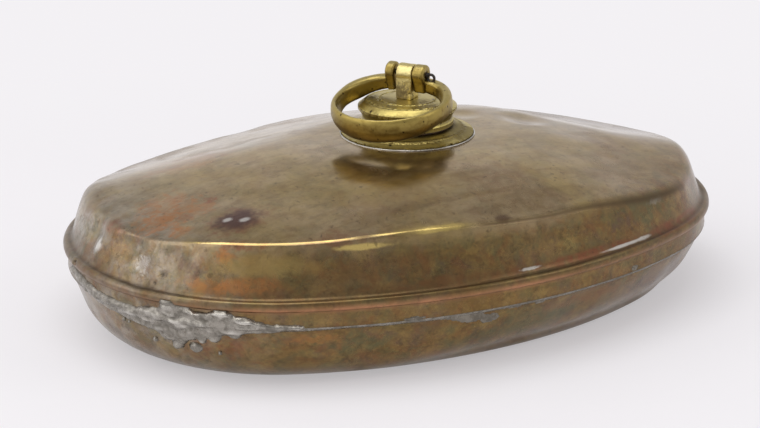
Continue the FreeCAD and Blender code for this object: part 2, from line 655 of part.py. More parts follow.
def make_ring_handle():
    body = new_body("ring_handle")
    band = new_sketch(body, "ring_band", "XY_Plane", "-dims.ring_drop")
    draw_ring_outline(band, "dims.ring_gauge / 2")
    draw_ring_outline(band, "-dims.ring_gauge / 2")
    add_pad(body, band, "dims.ring_width", middle=True)
    taper = new_sketch(body, "ring_taper", "YZ_Plane")
    near = "-dims.ring_gauge"
    for side in ("-", "+"):
        edge = "-dims.ring_drop %s dims.ring_width" % side
        draw_outline(taper, [
            (near, edge),
            (near, "-dims.ring_drop %s dims.ring_root / 2" % side),
            (RING_END, "-dims.ring_drop %s dims.ring_width / 2" % side),
            (RING_END, edge),
        ])
    tapered = add_pocket(body, taper)
    slim = number("dims.ring_root") * 0.6
    add_fillet(body, tapered, lambda box: box.ZLength < slim, "dims.ring_round")
    slot = new_sketch(body, "ring_slot", "XY_Plane")
    draw_outline(slot, [
        ("-%s" % NEAR_INNER, "-dims.knuckle_radius"),
        (KNUCKLE_INNER, "-dims.knuckle_radius"),
        (KNUCKLE_INNER, "dims.knuckle_radius"),
        ("-%s" % NEAR_INNER, "dims.knuckle_radius"),
    ])
    add_pocket(body, slot)
    foot = "-dims.ring_drop - dims.ring_root / 2"
    for name, inner, sign in (("far_knuckle", KNUCKLE_INNER, ""), ("near_knuckle", NEAR_INNER, "-")):
        offset = sign + inner
        width = "%s - %s" % (KNUCKLE_OUTER, inner)
        eye = new_sketch(body, name + "_eye", "YZ_Plane", offset)
        draw_circle(eye, "0", "0", "dims.knuckle_radius")
        add_pad(body, eye, width, reverse=bool(sign))
        stem = new_sketch(body, name + "_stem", "YZ_Plane", offset)
        draw_outline(stem, [
            ("-dims.knuckle_foot", foot),
            ("dims.knuckle_foot", foot),
            ("0.98 * dims.knuckle_radius", "0"),
            ("-0.98 * dims.knuckle_radius", "0"),
        ])
        add_pad(body, stem, width, reverse=bool(sign))
    hole = new_sketch(body, "knuckle_hole", "YZ_Plane")
    draw_circle(hole, "0", "0", "dims.pin_radius + dims.pin_gap")
    add_pocket(body, hole)
    body.Placement = on_collar(CAP_UNDERSIDE + " + dims.pin_height", number("dims.ring_tilt"))
    doc.recompute()
    return body


def make_ring_pin():
    # Iron pin: bent to an eye at one end and peened over at the other
    sideways = FreeCAD.Rotation(Vector(0, 1, 0), 90)
    near = number(KNUCKLE_OUTER + " + dims.pin_stand")
    far = number(KNUCKLE_OUTER + " + dims.head_gap")
    shank = doc.addObject("Part::Cylinder", "pin_shank")
    shank.setExpression("Radius", "dims.pin_radius")
    shank.setExpression("Height", "2 * %s + dims.pin_stand + dims.head_gap" % KNUCKLE_OUTER)
    shank.Placement = FreeCAD.Placement(Vector(-near, 0, 0), sideways)
    head = doc.addObject("Part::Cone", "pin_head")
    head.setExpression("Radius1", "dims.head_radius")
    head.setExpression("Radius2", "dims.pin_radius")
    head.setExpression("Height", "dims.head_height")
    head.Placement = FreeCAD.Placement(Vector(far, 0, 0), sideways)
    eye = doc.addObject("Part::Torus", "pin_eye")
    eye.setExpression("Radius1", "dims.eye_radius")
    eye.setExpression("Radius2", "dims.wire_radius")
    reach = near + number("sqrt(dims.eye_radius ^ 2 - dims.eye_drop ^ 2)")
    place = Vector(-reach, 0, -number("dims.eye_drop"))
    eye.Placement = FreeCAD.Placement(place, FreeCAD.Rotation(Vector(1, 0, 0), 90))
    pin = doc.addObject("Part::MultiFuse", "ring_pin")
    pin.Shapes = [shank, head, eye]
    pin.Placement = on_collar(CAP_UNDERSIDE + " + dims.pin_height")
    doc.recompute()
    return pin


# Build every piece, check the document and write the files

parts = [
    make_upper_shell(),
    make_lower_shell(),
    make_seam_solder(),
    make_solder_repair(),
    make_solder_splashes(),
    make_filler_collar(),
    make_collar_solder(),
    make_cap_washer(),
    make_screw_cap(),
    make_ring_lug(),
    make_ring_handle(),
    make_ring_pin(),
]
doc.recompute()
for item in doc.Objects:
    if "Invalid" in item.State or "Error" in item.State:
        raise RuntimeError("%s did not build: %s" % (item.Label, item.State))
os.makedirs("parts", exist_ok=True)
for part in parts:
    shape = part.Shape
    if shape.isNull() or not shape.isValid() or shape.Volume <= 0:
        raise RuntimeError("%s has no sound solid" % part.Label)
    shape.exportStep("parts/%s.step" % part.Label)
    box = shape.BoundBox
    print("%-16s %2d solid  %9.0f mm3  z %.1f to %.1f" % (
        part.Label, len(shape.Solids), shape.Volume, box.ZMin, box.ZMax))
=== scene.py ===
import bpy
import math
from mathutils import Matrix, Vector, noise


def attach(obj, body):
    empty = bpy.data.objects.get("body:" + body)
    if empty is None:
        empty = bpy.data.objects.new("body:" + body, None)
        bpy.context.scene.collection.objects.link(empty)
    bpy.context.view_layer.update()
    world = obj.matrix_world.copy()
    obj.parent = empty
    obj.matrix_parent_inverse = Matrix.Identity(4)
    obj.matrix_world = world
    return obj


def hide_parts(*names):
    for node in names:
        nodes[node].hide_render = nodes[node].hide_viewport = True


# oval bed bottle: two beaten shells soldered together, turned collar and cap, cast ring
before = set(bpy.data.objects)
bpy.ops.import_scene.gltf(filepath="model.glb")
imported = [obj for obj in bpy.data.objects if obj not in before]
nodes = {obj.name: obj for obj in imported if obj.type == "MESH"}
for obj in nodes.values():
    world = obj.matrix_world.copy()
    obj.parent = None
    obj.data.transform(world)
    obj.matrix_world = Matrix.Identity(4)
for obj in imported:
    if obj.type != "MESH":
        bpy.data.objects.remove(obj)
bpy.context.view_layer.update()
mm = 0.001  # shapes are worked out in millimetres
blankWeld = 0.002  # points nearer than this are one point, in millimetres
copyWeld = 0.001
print("frame loaded:", ", ".join(sorted(nodes)))


# selection and finishing, as by hand
def letGo():
    bpy.ops.object.select_all(action="DESELECT")


def takeUp(piece):
    letGo()
    piece.select_set(True)
    bpy.context.view_layer.objects.active = piece


def openAll(piece):
    takeUp(piece)
    bpy.ops.object.mode_set(mode="EDIT")
    bpy.ops.mesh.select_all(action="SELECT")


def applyModifiers(piece):
    takeUp(piece)
    for modifier in list(piece.modifiers):
        bpy.ops.object.modifier_apply(modifier=modifier.name)


def mergeDoubles(piece, distance):
    openAll(piece)
    bpy.ops.mesh.remove_doubles(threshold=distance * mm)
    bpy.ops.mesh.normals_make_consistent(inside=False)
    bpy.ops.object.mode_set(mode="OBJECT")


def turnOutwards(piece, inside):
    # an open sheet has no inside, so its faces are set against a point within the bottle
    middle = Vector(inside) * mm
    total = sum((face.center - middle).dot(face.normal) * face.area for face in piece.data.polygons)
    if total < 0:
        openAll(piece)
        bpy.ops.mesh.flip_normals()
        bpy.ops.object.mode_set(mode="OBJECT")


def ease(value, low, high):
    share = min(max((value - low) / (high - low), 0.0), 1.0)
    return share * share * (3 - 2 * share)


def hump(value, centre, width):
    return math.exp(-((value - centre) / width) ** 2)


def between(value, rising, falling):
    return ease(value, *rising) * (1 - ease(value, *falling))


def grain(point, size, seed):
    return noise.noise(point / size + Vector((seed, 2.7 * seed, -1.3 * seed)))


def uneven(point, layers):
    # layers of grain: depth, size, seed
    return sum(depth * grain(point, size, seed) for depth, size, seed in layers)


# a flat blank is wrapped into shape: places[column][row] is a point in millimetres
def wrapBlank(name, places, closed=True, marks=None):
    columns = len(places)
    rows = len(places[0])
    letGo()
    across = columns if closed else columns - 1
    bpy.ops.mesh.primitive_grid_add(x_subdivisions=across, y_subdivisions=rows - 1, size=1.0)
    blank = bpy.context.object
    blank.name = name
    blank.data.name = name
    spots = []
    for vertex in blank.data.vertices:
        column = round((vertex.co.x + 0.5) * across) % columns
        spots.append((column, round((vertex.co.y + 0.5) * (rows - 1))))
    flat = [value * mm for column, row in spots for value in places[column][row]]
    blank.data.vertices.foreach_set("co", flat)
    for markName, values in (marks or {}).items():
        mark = blank.data.attributes.new(markName, "FLOAT", "POINT")
        mark.data.foreach_set("value", [values[column][row] for column, row in spots])
    blank.data.update()
    mergeDoubles(blank, blankWeld)
    return blank


def pushSurface(piece, amount):
    # moves each point along its normal, by what amount gives for its place in millimetres
    normals = [vertex.normal.copy() for vertex in piece.data.vertices]
    for vertex, normal in zip(piece.data.vertices, normals):
        vertex.co += normal * (amount(vertex.co / mm) * mm)
    piece.data.update()


def dentDepth(point, dents):
    total = 0.0
    for place, radius, depth in dents:
        apart = (point - Vector(place)).length / radius
        if apart < 1:
            total += depth * (1 - apart * apart) ** 2
    return total


def giveGauge(piece, gauge):
    sheet = piece.modifiers.new("sheet", "SOLIDIFY")
    sheet.thickness = gauge * mm
    sheet.offset = -1
    applyModifiers(piece)


def shadeSmooth(piece, degrees):
    takeUp(piece)
    bpy.ops.object.shade_smooth_by_angle(angle=math.radians(degrees))


# the four-centre oval that every part of the body follows
# lastGap, in radians, keeps the last column off the first
oval = {"halfLength": 150.0, "halfWidth": 106.0, "endRadius": 94.0, "lastGap": 1e-4}
endCentre = oval["halfLength"] - oval["endRadius"]
sideRadius = oval["halfLength"] * (oval["halfLength"] - 2 * oval["endRadius"]) + oval["halfWidth"] ** 2
sideRadius /= 2 * (oval["halfWidth"] - oval["endRadius"])
sideCentre = sideRadius - oval["halfWidth"]


def onEndArc(facing):
    return abs(math.sin(facing)) * endCentre < abs(math.cos(facing)) * sideCentre


def ovalPoint(facing, inset, height):
    out = Vector((math.cos(facing), math.sin(facing), 0))
    if onEndArc(facing):
        return Vector((math.copysign(endCentre, out.x), 0, height)) + out * (oval["endRadius"] - inset)
    return Vector((0, -math.copysign(sideCentre, out.y), height)) + out * (sideRadius - inset)


def facingsRound(start, end, stepAt):
    # directions that the wall faces, a step apart along the oval
    facings = []
    facing = math.radians(start)
    while facing < math.radians(end) - oval["lastGap"]:
        facings.append(facing)
        radius = oval["endRadius"] if onEndArc(facing) else sideRadius
        facing += stepAt(math.degrees(facing)) / radius
    return facings


def makeShell(name, shape, columnAt, push, markNames):
    # columnAt gives a column of points and what marks each of them, for a direction faced
    first, last = shape["fineFacings"]
    facings = facingsRound(0, 360, lambda turn: shape["fineStep"] if first < turn < last else shape["step"])
    made = [columnAt(facing) for facing in facings]
    marks = {}
    for index, markName in enumerate(markNames):
        marks[markName] = [[mark[index] for mark in columnMarks] for column, columnMarks in made]
    shell = wrapBlank(name, [column for column, columnMarks in made], marks=marks)
    turnOutwards(shell, shape["inside"])
    pushSurface(shell, push)
    giveGauge(shell, shape["gauge"])
    shadeSmooth(shell, shape["smooth"])
    return shell


# upper shell: skirt, swaged bead, leaning wall, shoulder and crown
upper = {
    "gauge": 1.0, "lapInset": 1.8, "lapEdge": 29.0, "lapRows": (0, 1.2, 2.6, 4.0, 5.4),
    "beadHeight": 38.0, "beadRadius": 2.2, "beadDepth": 1.74, "beadSwing": 78, "beadStep": 14,
    "beadNeck": ((2.7, 2.22), (3.4, 2.4)), "wallFoot": (4.1, 3.2), "wallInset": 3.0, "wallLean": 20.0,
    "deepest": 40.0, "halvings": 30, "lookAhead": 2, "shoulder": 8.0, "frontShoulder": 3.0,
    "seat": 75.7, "seatEase": 1.2, "crownTop": 77.9, "crownAlong": 515.0, "crownAcross": 280.0,
    "collar": (5.0, -3.0), "hole": 18.15, "fineStep": 1.1, "step": 2.2, "fineFacings": (160, 262),
    "wallRows": 15, "shoulderRows": 8, "crownRows": 44, "inside": (0, 0, 30), "smooth": 50,
}
# shape, wear, painted highlights and painted shade round the front, by the direction faced in degrees: where
# each begins and where it ends
wear = {
    "sharp": ((178, 198), (265, 290)), "softerAt": (261, 5), "softer": 0.6,
    "flat": ((205, 238), (292, 320)), "flatDepth": 0.7,
    "pink": ((226, 240), (268, 280)), "pinkLeast": 0.45, "pinkSwing": (-42, 37),
    "beadTopHighlight": (66, 14), "beadTopHighlightShare": 0.1,
    "brightLineFrom": (213, 222), "brightLineEnd": (263, 267), "brightLineLost": 0.95, "brightLineRow": 5,
    "broad": (255, 259), "narrowRows": 1.1, "broadRows": 1.6,
    "gapAt": 253.4, "gapWidths": (1.6, 1.5), "gapLoss": 0.85, "gapShade": 1.1, "gapRows": 1.6,
    # soot is painted shade: it darkens the shoulder further round to dim its reflection
    "soot": ((264, 268), (298, 312)), "shadeShare": 1.45, "shadeRow": (2.8, 2.2),
}
# dirt at the skirt's edge, and dirt and painted shade on the bead, in the groove above it and up the wall's
# foot
upperDirtAndShade = {"lapEdge": 0.5, "lap": 0.15, "bead": 0.5, "neck": 0.8, "wallFoot": 0.6}
# the crown isn't beaten evenly: place, reach, rise
crownSways = [
    ((-55, -88), (78, 36), 1.9), ((-108, -62), (44, 40), 2.2), ((96, -72), (66, 52), -3.4),
    ((-52, 74), (110, 66), -5.6), ((70, 76), (92, 62), -3.6), ((120, 25), (64, 62), -6.2),
    ((-128, 36), (40, 40), 2.0), ((0, -62), (88, 32), 1.4),
]
# dents and bulges: place, radius, depth (a bulge has a negative depth)
upperDents = [
    ((-141, 4, 52), 12, 2.0), ((-143.4, -3, 48.5), 5.5, -1.2), ((-138, -23, 54), 12, 2.0),
    ((-137, -34, 45), 9, 1.5), ((-140, -13, 44), 6, 0.9), ((-129, -46, 51), 11, 1.0),
    ((-133, 34, 54), 20, -1.4), ((66, -3, 74), 14, 1.7), ((42, 9, 75.4), 9, 0.6),
    ((82, -22, 70), 20, 0.9), ((-60, 40, 70), 24, 0.3), ((30, 60, 69), 26, 0.8),
    ((100, 40, 62), 18, 0.9), ((-30, 98, 50), 18, 0.8), ((118, -62, 50), 14, 0.7),
    ((-100, -70, 52), 12, 0.6), ((20, -98, 52), 20, 0.6), ((-40, -92, 53), 16, 0.5),
    ((-149.4, 8.7, 38.6), 2.0, 1.9), ((-132.4, -43.7, 46.2), 1.7, 1.1), ((-135.6, -40.9, 42.4), 1.4, 0.8),
]
# hammered unevenness: depth, size, seed
upperGrain = ((0.34, 40, 0.0), (0.16, 17, 3), (0.05, 7, 5))
looseAbove = (39, 46)  # heights over which the sheet is free of the bead
looseBeyond = (33, 48)  # distances over which it is free of the collar
wallLean = math.radians(upper["wallLean"])


def crownHeight(x, y):
    across = math.sqrt(upper["crownAcross"] ** 2 - y * y)
    along = math.sqrt((upper["crownAlong"] - upper["crownAcross"] + across) ** 2 - x * x)
    high = upper["crownTop"] - upper["crownAlong"] + along
    for place, reach, rise in crownSways:
        apart = ((x - place[0]) / reach[0]) ** 2 + ((y - place[1]) / reach[1]) ** 2
        if apart < 1:
            high += rise * (1 - apart) ** 2
    # the flat for the collar is eased into the crown
    near = max(upper["seatEase"] - abs(high - upper["seat"]), 0) / upper["seatEase"]
    return min(high, upper["seat"]) - near * near * upper["seatEase"] / 4


def wallHeight(inset):
    return upper["beadHeight"] + (inset - upper["wallInset"]) / math.tan(wallLean)


def cornerInset(facing):
    # where the wall would meet the crown, found by halving
    low, high = upper["wallInset"], upper["deepest"]
    for _ in range(upper["halvings"]):
        inset = (low + high) / 2
        point = ovalPoint(facing, inset, 0)
        if wallHeight(inset) < crownHeight(point.x, point.y):
            low = inset
        else:
            high = inset
    return low


# each row is inset, height, and how much pink wear and painted highlight, crease wear and painted highlight,
# and dirt and painted shade it has
def skirtRows():
    rows = []
    for height in upper["lapRows"]:
        dirty = upperDirtAndShade["lapEdge"] if height == 0 else upperDirtAndShade["lap"]
        rows.append((upper["lapInset"], upper["lapEdge"] + height, 0.0, 0.0, dirty))
    return rows


def beadRows(turn):
    rows = []
    flat = wear["flatDepth"] * between(turn, *wear["flat"])  # pressed flatter along the front
    pinked = wear["pinkLeast"] + (1 - wear["pinkLeast"]) * between(turn, *wear["pink"])
    widest = 1 - math.cos(math.radians(upper["beadSwing"]))
    for swing in range(-upper["beadSwing"], upper["beadSwing"] + 1, upper["beadStep"]):
        angle = math.radians(swing)
        inset = flat + (upper["beadDepth"] - flat) * (1 - math.cos(angle)) / widest
        height = upper["beadHeight"] + upper["beadRadius"] * math.sin(angle)
        # wear and painted highlight: a pink line on the bead's lower edge, and a thin bright line on its top
        pinkWearAndHighlight = pinked * hump(swing, *wear["pinkSwing"])
        creaseWornAndHighlit = wear["beadTopHighlightShare"] * hump(swing, *wear["beadTopHighlight"])
        rows.append((inset, height, pinkWearAndHighlight, creaseWornAndHighlit, upperDirtAndShade["bead"]))
    for inset, rise in upper["beadNeck"]:
        rows.append((inset, upper["beadHeight"] + rise, 0.0, 0.0, upperDirtAndShade["neck"]))
    return rows


def wallAndShoulderRows(facing, turn):
    rows = []
    inset = cornerInset(facing)
    corner = wallHeight(inset)
    ahead = ovalPoint(facing, inset + upper["lookAhead"], 0)
    rise = math.atan2(crownHeight(ahead.x, ahead.y) - corner, upper["lookAhead"])
    # the shoulder is sharper round the left front
    sharp = between(turn, *wear["sharp"]) * (1 - wear["softer"] * hump(turn, *wear["softerAt"]))
    radius = upper["shoulder"] + (upper["frontShoulder"] - upper["shoulder"]) * sharp
    tangent = radius * math.tan((math.pi / 2 - wallLean - rise) / 2)
    footInset, footHeight = upper["wallFoot"][0], upper["beadHeight"] + upper["wallFoot"][1]
    headInset, headHeight = inset - tangent * math.sin(wallLean), corner - tangent * math.cos(wallLean)
    for row in range(upper["wallRows"]):
        share = row / upper["wallRows"]
        wallInset = footInset + (headInset - footInset) * share
        height = footHeight + (headHeight - footHeight) * share
        rows.append((wallInset, height, 0.0, 0.0, upperDirtAndShade["wallFoot"] * (1 - share) ** 3))
    # worn metal and a painted highlight along the shoulder, broken once by painted shade, and painted shade
    # further round that dims the shoulder's reflection
    brightLine = ease(turn, *wear["brightLineFrom"]) * (1 - wear["brightLineLost"] * ease(turn, *wear["brightLineEnd"]))
    brightLine *= 1 - wear["gapLoss"] * hump(turn, wear["gapAt"], wear["gapWidths"][0])
    gap = wear["gapShade"] * hump(turn, wear["gapAt"], wear["gapWidths"][1])
    broad = wear["narrowRows"] + wear["broadRows"] * ease(turn, *wear["broad"])
    paintedShade = wear["shadeShare"] * between(turn, *wear["soot"])
    centreInset = headInset + radius * math.cos(wallLean)
    centreHeight = headHeight - radius * math.sin(wallLean)
    last = rise - math.pi / 2
    for row in range(upper["shoulderRows"] + 1):
        angle = -wallLean + (last + wallLean) * row / upper["shoulderRows"]
        # soot here is painted shade, laid on the dirt mark: further round, and in the gap that breaks the
        # bright line
        soot = paintedShade * hump(row, *wear["shadeRow"]) + gap * hump(row, wear["brightLineRow"], wear["gapRows"])
        creaseWornAndHighlit = brightLine * hump(row, wear["brightLineRow"], broad)
        rows.append((centreInset - radius * math.cos(angle), centreHeight - radius * math.sin(angle),
                     0.0, creaseWornAndHighlit, soot))
    return rows


def upperColumn(facing):
    turn = math.degrees(facing)
    rows = skirtRows() + beadRows(turn) + wallAndShoulderRows(facing, turn)
    column = [ovalPoint(facing, row[0], row[1]) for row in rows]
    marks = [row[2:] for row in rows]
    edge = column[-1]
    middle = Vector((*upper["collar"], edge.z))
    rim = middle + (edge - middle).normalized() * upper["hole"]
    for row in range(1, upper["crownRows"] + 1):
        point = edge.lerp(rim, row / upper["crownRows"])
        point.z = crownHeight(point.x, point.y)
        column.append(point)
        marks.append((0.0, 0.0, 0.0))
    return column, marks


def upperPush(point):
    fromCollar = math.hypot(point.x - upper["collar"][0], point.y - upper["collar"][1])
    loose = ease(point.z, *looseAbove) * ease(fromCollar, *looseBeyond)
    return loose * uneven(point, upperGrain) - dentDepth(point, upperDents)


crownShell = makeShell("crownShell", upper, upperColumn, upperPush, ("pinkWearAndHighlight", "creaseWearAndHighlight", "dirt"))
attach(crownShell, "bottle")
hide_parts("upper_shell")
print("upper shell beaten:", len(crownShell.data.polygons), "faces")

# lower shell: upstand inside the skirt, leaning wall, base round and flat base
lower = {
    "gauge": 1.0, "inset": 2.86, "edge": 29.0, "lean": 19.0, "round": 24.0, "upstand": (38.0, 35, 32, 29.0),
    "fineStep": 1.6, "step": 2.4, "fineFacings": (160, 262), "wallRows": 10, "roundRows": 16, "baseRows": 12,
    "inside": (0, 0, 25), "smooth": 50,
}
# the pan is beaten rounder under the right front: depth, place, reach, heights
beaten = {"depth": 3.0, "place": (56, -86), "reach": (112, 92), "rising": (0, 5), "falling": (6, 28)}
# dirt mark on the pan: darker on the upstand and just under the seam, and painted shade towards the bottom,
# darkest on the base, where the pan faces the floor's shadow
lowerDirtAndShade = {"upstand": 0.6, "seam": 0.7, "seamRows": 3, "roundFrom": 3, "roundTo": 14, "base": 0.8}
lowerDents = [
    ((-128, -50, 12), 12, 0.7), ((-60, -88, 14), 18, 0.9), ((30, -96, 18), 16, 0.7),
    ((96, -72, 16), 15, 0.8), ((-135, 30, 16), 14, 0.7), ((20, 95, 15), 20, 0.8),
]
lowerGrain = ((0.3, 34, 8), (0.12, 15, 9))
lowerLoose = ((1.5, 9), (25, 28.5))  # heights over which the pan is free of the base and of the seam
lowerLean = math.radians(lower["lean"])
tangentHeight = lower["round"] * (1 - math.sin(lowerLean))


def lowerInset(height):
    # face of the lower wall and its base round behind the bead
    if height >= tangentHeight:
        return lower["inset"] + (lower["edge"] - height) * math.tan(lowerLean)
    centre = lowerInset(tangentHeight) + lower["round"] * math.cos(lowerLean)
    return centre - math.sqrt(lower["round"] ** 2 - (lower["round"] - height) ** 2)


def lowerColumn(facing):
    rows = [(lower["inset"], height, lowerDirtAndShade["upstand"]) for height in lower["upstand"]]
    for row in range(1, lower["wallRows"] + 1):
        height = lower["edge"] + (tangentHeight - lower["edge"]) * row / lower["wallRows"]
        rows.append((lowerInset(height), height, lowerDirtAndShade["seam"] * max(0, 1 - row / lowerDirtAndShade["seamRows"])))
    centre = lowerInset(tangentHeight) + lower["round"] * math.cos(lowerLean)
    for row in range(1, lower["roundRows"] + 1):
        angle = math.pi + lowerLean + (math.pi / 2 - lowerLean) * row / lower["roundRows"]
        height = lower["round"] * (1 + math.sin(angle))
        # painted shade, growing towards the bottom of the round
        dirty = ease(row, lowerDirtAndShade["roundFrom"], lowerDirtAndShade["roundTo"])
        rows.append((centre + lower["round"] * math.cos(angle), height, dirty))
    column = [ovalPoint(facing, inset, height) for inset, height, dirty in rows]
    marks = [row[2:] for row in rows]
    edge = column[-1].copy()
    for row in range(1, lower["baseRows"] + 1):
        column.append(edge * (1 - row / lower["baseRows"]))
        marks.append((lowerDirtAndShade["base"],))
    return column, marks


def lowerPush(point):
    loose = between(point.z, *lowerLoose)
    along = (point.x - beaten["place"][0]) / beaten["reach"][0]
    across = (point.y - beaten["place"][1]) / beaten["reach"][1]
    side = 1 - min(1.0, along ** 2 + across ** 2)
    rounder = beaten["depth"] * ease(side, 0, 1) * between(point.z, beaten["rising"], beaten["falling"])
    return loose * uneven(point, lowerGrain) - rounder - loose * dentDepth(point, lowerDents)


panShell = makeShell("panShell", lower, lowerColumn, lowerPush, ("dirt",))
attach(panShell, "bottle")
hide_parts("lower_shell")
print("lower shell beaten:", len(panShell.data.polygons), "faces")

# solder run round the skirt's lower edge, uneven as it was wiped, and bright only near the repair
seam = {
    "step": 1.3, "probe": 28, "swell": 0.2, "swellGrain": ((1.0, 6, 11), (0.6, 2.6, 12)),
    "waver": 0.3, "waverGrain": (9, 13), "smooth": 60, "bright": (140, 172),
    "browned": (((248, 262), 0.2), ((266, 284), 0.4), ((284, 298), 0.4)),
}


def seamColumn(facing):
    probe = ovalPoint(facing, 0, seam["probe"])
    swell = seam["swell"] * uneven(probe, seam["swellGrain"])
    waver = seam["waver"] * grain(probe, *seam["waverGrain"])
    section = [
        (1.74, 29.05), (1.9 - swell, 28.7), (2.3 - swell, 28.25), (2.75 - 0.8 * swell, 27.8 + waver),
        (3.3, 27.35 + waver), (3.8, 27.4 + waver), (3.6, 28.1), (3.1, 28.8), (2.3, 29.15),
    ]
    loop = [ovalPoint(facing, inset, height) for inset, height in section]
    return loop + loop[:1]


def seamSoil(facing):
    turn = math.degrees(facing)
    kept = 1 - sum(share * ease(turn, *span) for span, share in seam["browned"])
    return 1 - ease(turn, *seam["bright"]) * kept


seamFacings = facingsRound(0, 360, lambda turn: seam["step"])
seamPlaces = [seamColumn(facing) for facing in seamFacings]
seamMarks = {"soiled": [[seamSoil(facing)] * len(seamPlaces[0]) for facing in seamFacings]}
seamSolder = wrapBlank("seamSolder", seamPlaces, marks=seamMarks)
shadeSmooth(seamSolder, seam["smooth"])
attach(seamSolder, "bottle")
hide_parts("seam_solder")
print("seam soldered")

# later repair: solder wiped on thick over the left front of the seam, with drips and drops
wiping = {
    "edge": 0.2, "step": 0.62, "low": 11.5, "high": 38.2, "rows": 56, "bare": -0.35, "gauge": 0.35,
    "skin": 0.08, "reach": 2.2, "inward": 5, "tilted": (27, 30), "lap": (28.2, 29.4), "inside": (-60, 0, 30),
    "raggedGrain": ((0.16, 5, 21), (0.12, 2.2, 22)), "raggedRise": 3,
    "full": 0.45, "rounding": 0.7, "foldFull": 0.3,
    "lumpGrain": ((0.5, 6.5, 23), (0.35, 2.6, 24), (0.2, 1.4, 27)), "lumpShare": 0.8,
    "flowAlong": 10, "flowHeight": 1.7, "flowWaver": 1.5, "flowWaverGrain": (9, 25), "flowGrain": (1.0, 26),
    "flowShare": 0.58, "thinFrom": 0.1, "thinTo": 0.4, "soiled": 0.85, "smooth": 70,
}
repair = {"start": 167, "end": 254, "thick": 1.15, "ragged": 1.0, "tarnish": 0.0}
# lumps: facing, height, half length, half height, strength
repairLumps = [
    (171.5, 33.5, 5, 2.2, 0.8), (177, 32.2, 6, 2.6, 0.9), (182.5, 30.6, 7, 2.8, 1.0),
    (188, 29.2, 8, 3.2, 1.0), (194, 28.2, 8, 3.8, 1.0), (199, 27.6, 7, 4.4, 1.0),
    (204, 27.2, 8, 5.2, 1.0), (208, 27.6, 7, 6.0, 1.0), (212.5, 34.0, 4.2, 5.0, 1.0),
    (210.5, 22.0, 4.5, 4.0, 0.9), (213.5, 26.0, 8, 7.0, 1.1), (217, 34.6, 4.0, 2.0, 0.8),
    (219, 27.0, 9, 6.2, 1.1), (222, 33.2, 6, 1.8, 0.7), (224, 28.2, 8, 5.2, 1.0),
    (227, 34.2, 5, 2.1, 0.9), (229.5, 29.2, 8, 4.6, 1.0), (232.5, 32.6, 4, 1.6, 0.7),
    (235, 29.4, 7, 3.2, 0.9), (240, 29.0, 6, 2.2, 0.9), (244.5, 29.2, 6, 1.7, 0.8),
    (215, 20.0, 2.0, 2.6, 0.7), (224.6, 22.6, 2.6, 2.4, 0.9), (221, 21.6, 1.8, 2.2, 0.7),
    (230, 25.6, 2.6, 2.2, 0.9), (213.2, 16.8, 2.6, 1.9, 1.0), (218.6, 17.0, 2.9, 2.1, 1.0),
    (205.8, 17.1, 1.2, 1.1, 0.8), (225.4, 15.4, 0.9, 0.9, 0.8), (195.5, 22.6, 1.0, 0.8, 0.7),
    (197.5, 22.3, 0.8, 0.7, 0.7),
]
# folds where it set in plates: facing, height, half length, half height, extra
repairFolds = [
    (213.5, 35.4, 3.4, 1.9, 0.8), (219.5, 34.2, 4.4, 0.9, 0.7), (226.5, 34.8, 5.0, 1.2, 0.8),
    (235, 31.8, 6.0, 1.2, 0.8), (208.5, 30.4, 3.0, 1.6, 0.6), (222, 29.4, 5.0, 1.4, 0.7),
    (215, 28.6, 4.0, 1.5, 0.6), (229, 27.4, 4.0, 1.2, 0.6), (200, 28.8, 4.0, 1.3, 0.5),
    (190, 30.0, 4.0, 1.2, 0.4),
]
# thin films further round the seam
film = {"start": 254, "end": 290, "thick": 0.3, "ragged": 2.4, "tarnish": 0.5}
filmLumps = [
    (262.6, 27.4, 8, 2.0, 0.8), (264.5, 26.0, 7, 2.6, 0.8), (266.6, 24.0, 5, 2.4, 0.7),
    (269.6, 28.0, 5, 1.8, 0.8), (272.5, 27.6, 4, 1.4, 0.7), (258, 29.4, 6, 1.2, 0.7),
    (286, 30.5, 2.2, 1.4, 0.8),
]


def bodyInset(height):
    # face of bead, skirt or lower wall at a height
    if height > upper["beadHeight"] - upper["beadRadius"]:
        drop = min(abs(upper["beadHeight"] - height), upper["beadRadius"])
        return min(upper["lapInset"], upper["beadRadius"] - math.sqrt(upper["beadRadius"] ** 2 - drop ** 2))
    step = ease(height, *wiping["lap"])
    return upper["lapInset"] * step + lowerInset(min(height, lower["edge"])) * (1 - step)


def alongOval(turn):
    # length along the front from the left end, a little inside the bead
    join = 180 + math.degrees(math.atan2(sideCentre, endCentre))
    onEnd = math.radians(min(turn, join) - 180) * (oval["endRadius"] - wiping["inward"])
    return onEnd + math.radians(max(turn - join, 0)) * (sideRadius - wiping["inward"])


def solderField(facing, height, lumps):
    here = alongOval(math.degrees(facing))
    total = 0.0
    for lumpFacing, lumpHeight, halfLength, halfHeight, strength in lumps:
        along = (here - alongOval(lumpFacing)) / halfLength
        apart = along * along + ((height - lumpHeight) / halfHeight) ** 2
        if apart < wiping["reach"]:
            total += strength * (1 - apart / wiping["reach"]) ** 3
    return total


def solderDepth(facing, height, base, run, lumps, folds):
    field = solderField(facing, height, lumps)
    field += run["ragged"] * uneven(base, wiping["raggedGrain"]) * min(1, field * wiping["raggedRise"])
    inside = field - wiping["edge"]
    if inside <= 0:
        return wiping["bare"]
    # lumps, and lines in which it flowed
    waver = wiping["flowWaver"] * grain(base, *wiping["flowWaverGrain"])
    flowed = Vector((facing * wiping["flowAlong"], 0, height / wiping["flowHeight"] + waver))
    relief = 1 + wiping["lumpShare"] * uneven(base, wiping["lumpGrain"])
    relief += wiping["flowShare"] * grain(flowed, *wiping["flowGrain"])
    depth = run["thick"] * min(1, inside / wiping["full"]) ** wiping["rounding"] * relief + wiping["skin"]
    return depth + solderField(facing, height, folds) * min(1, inside / wiping["foldFull"])


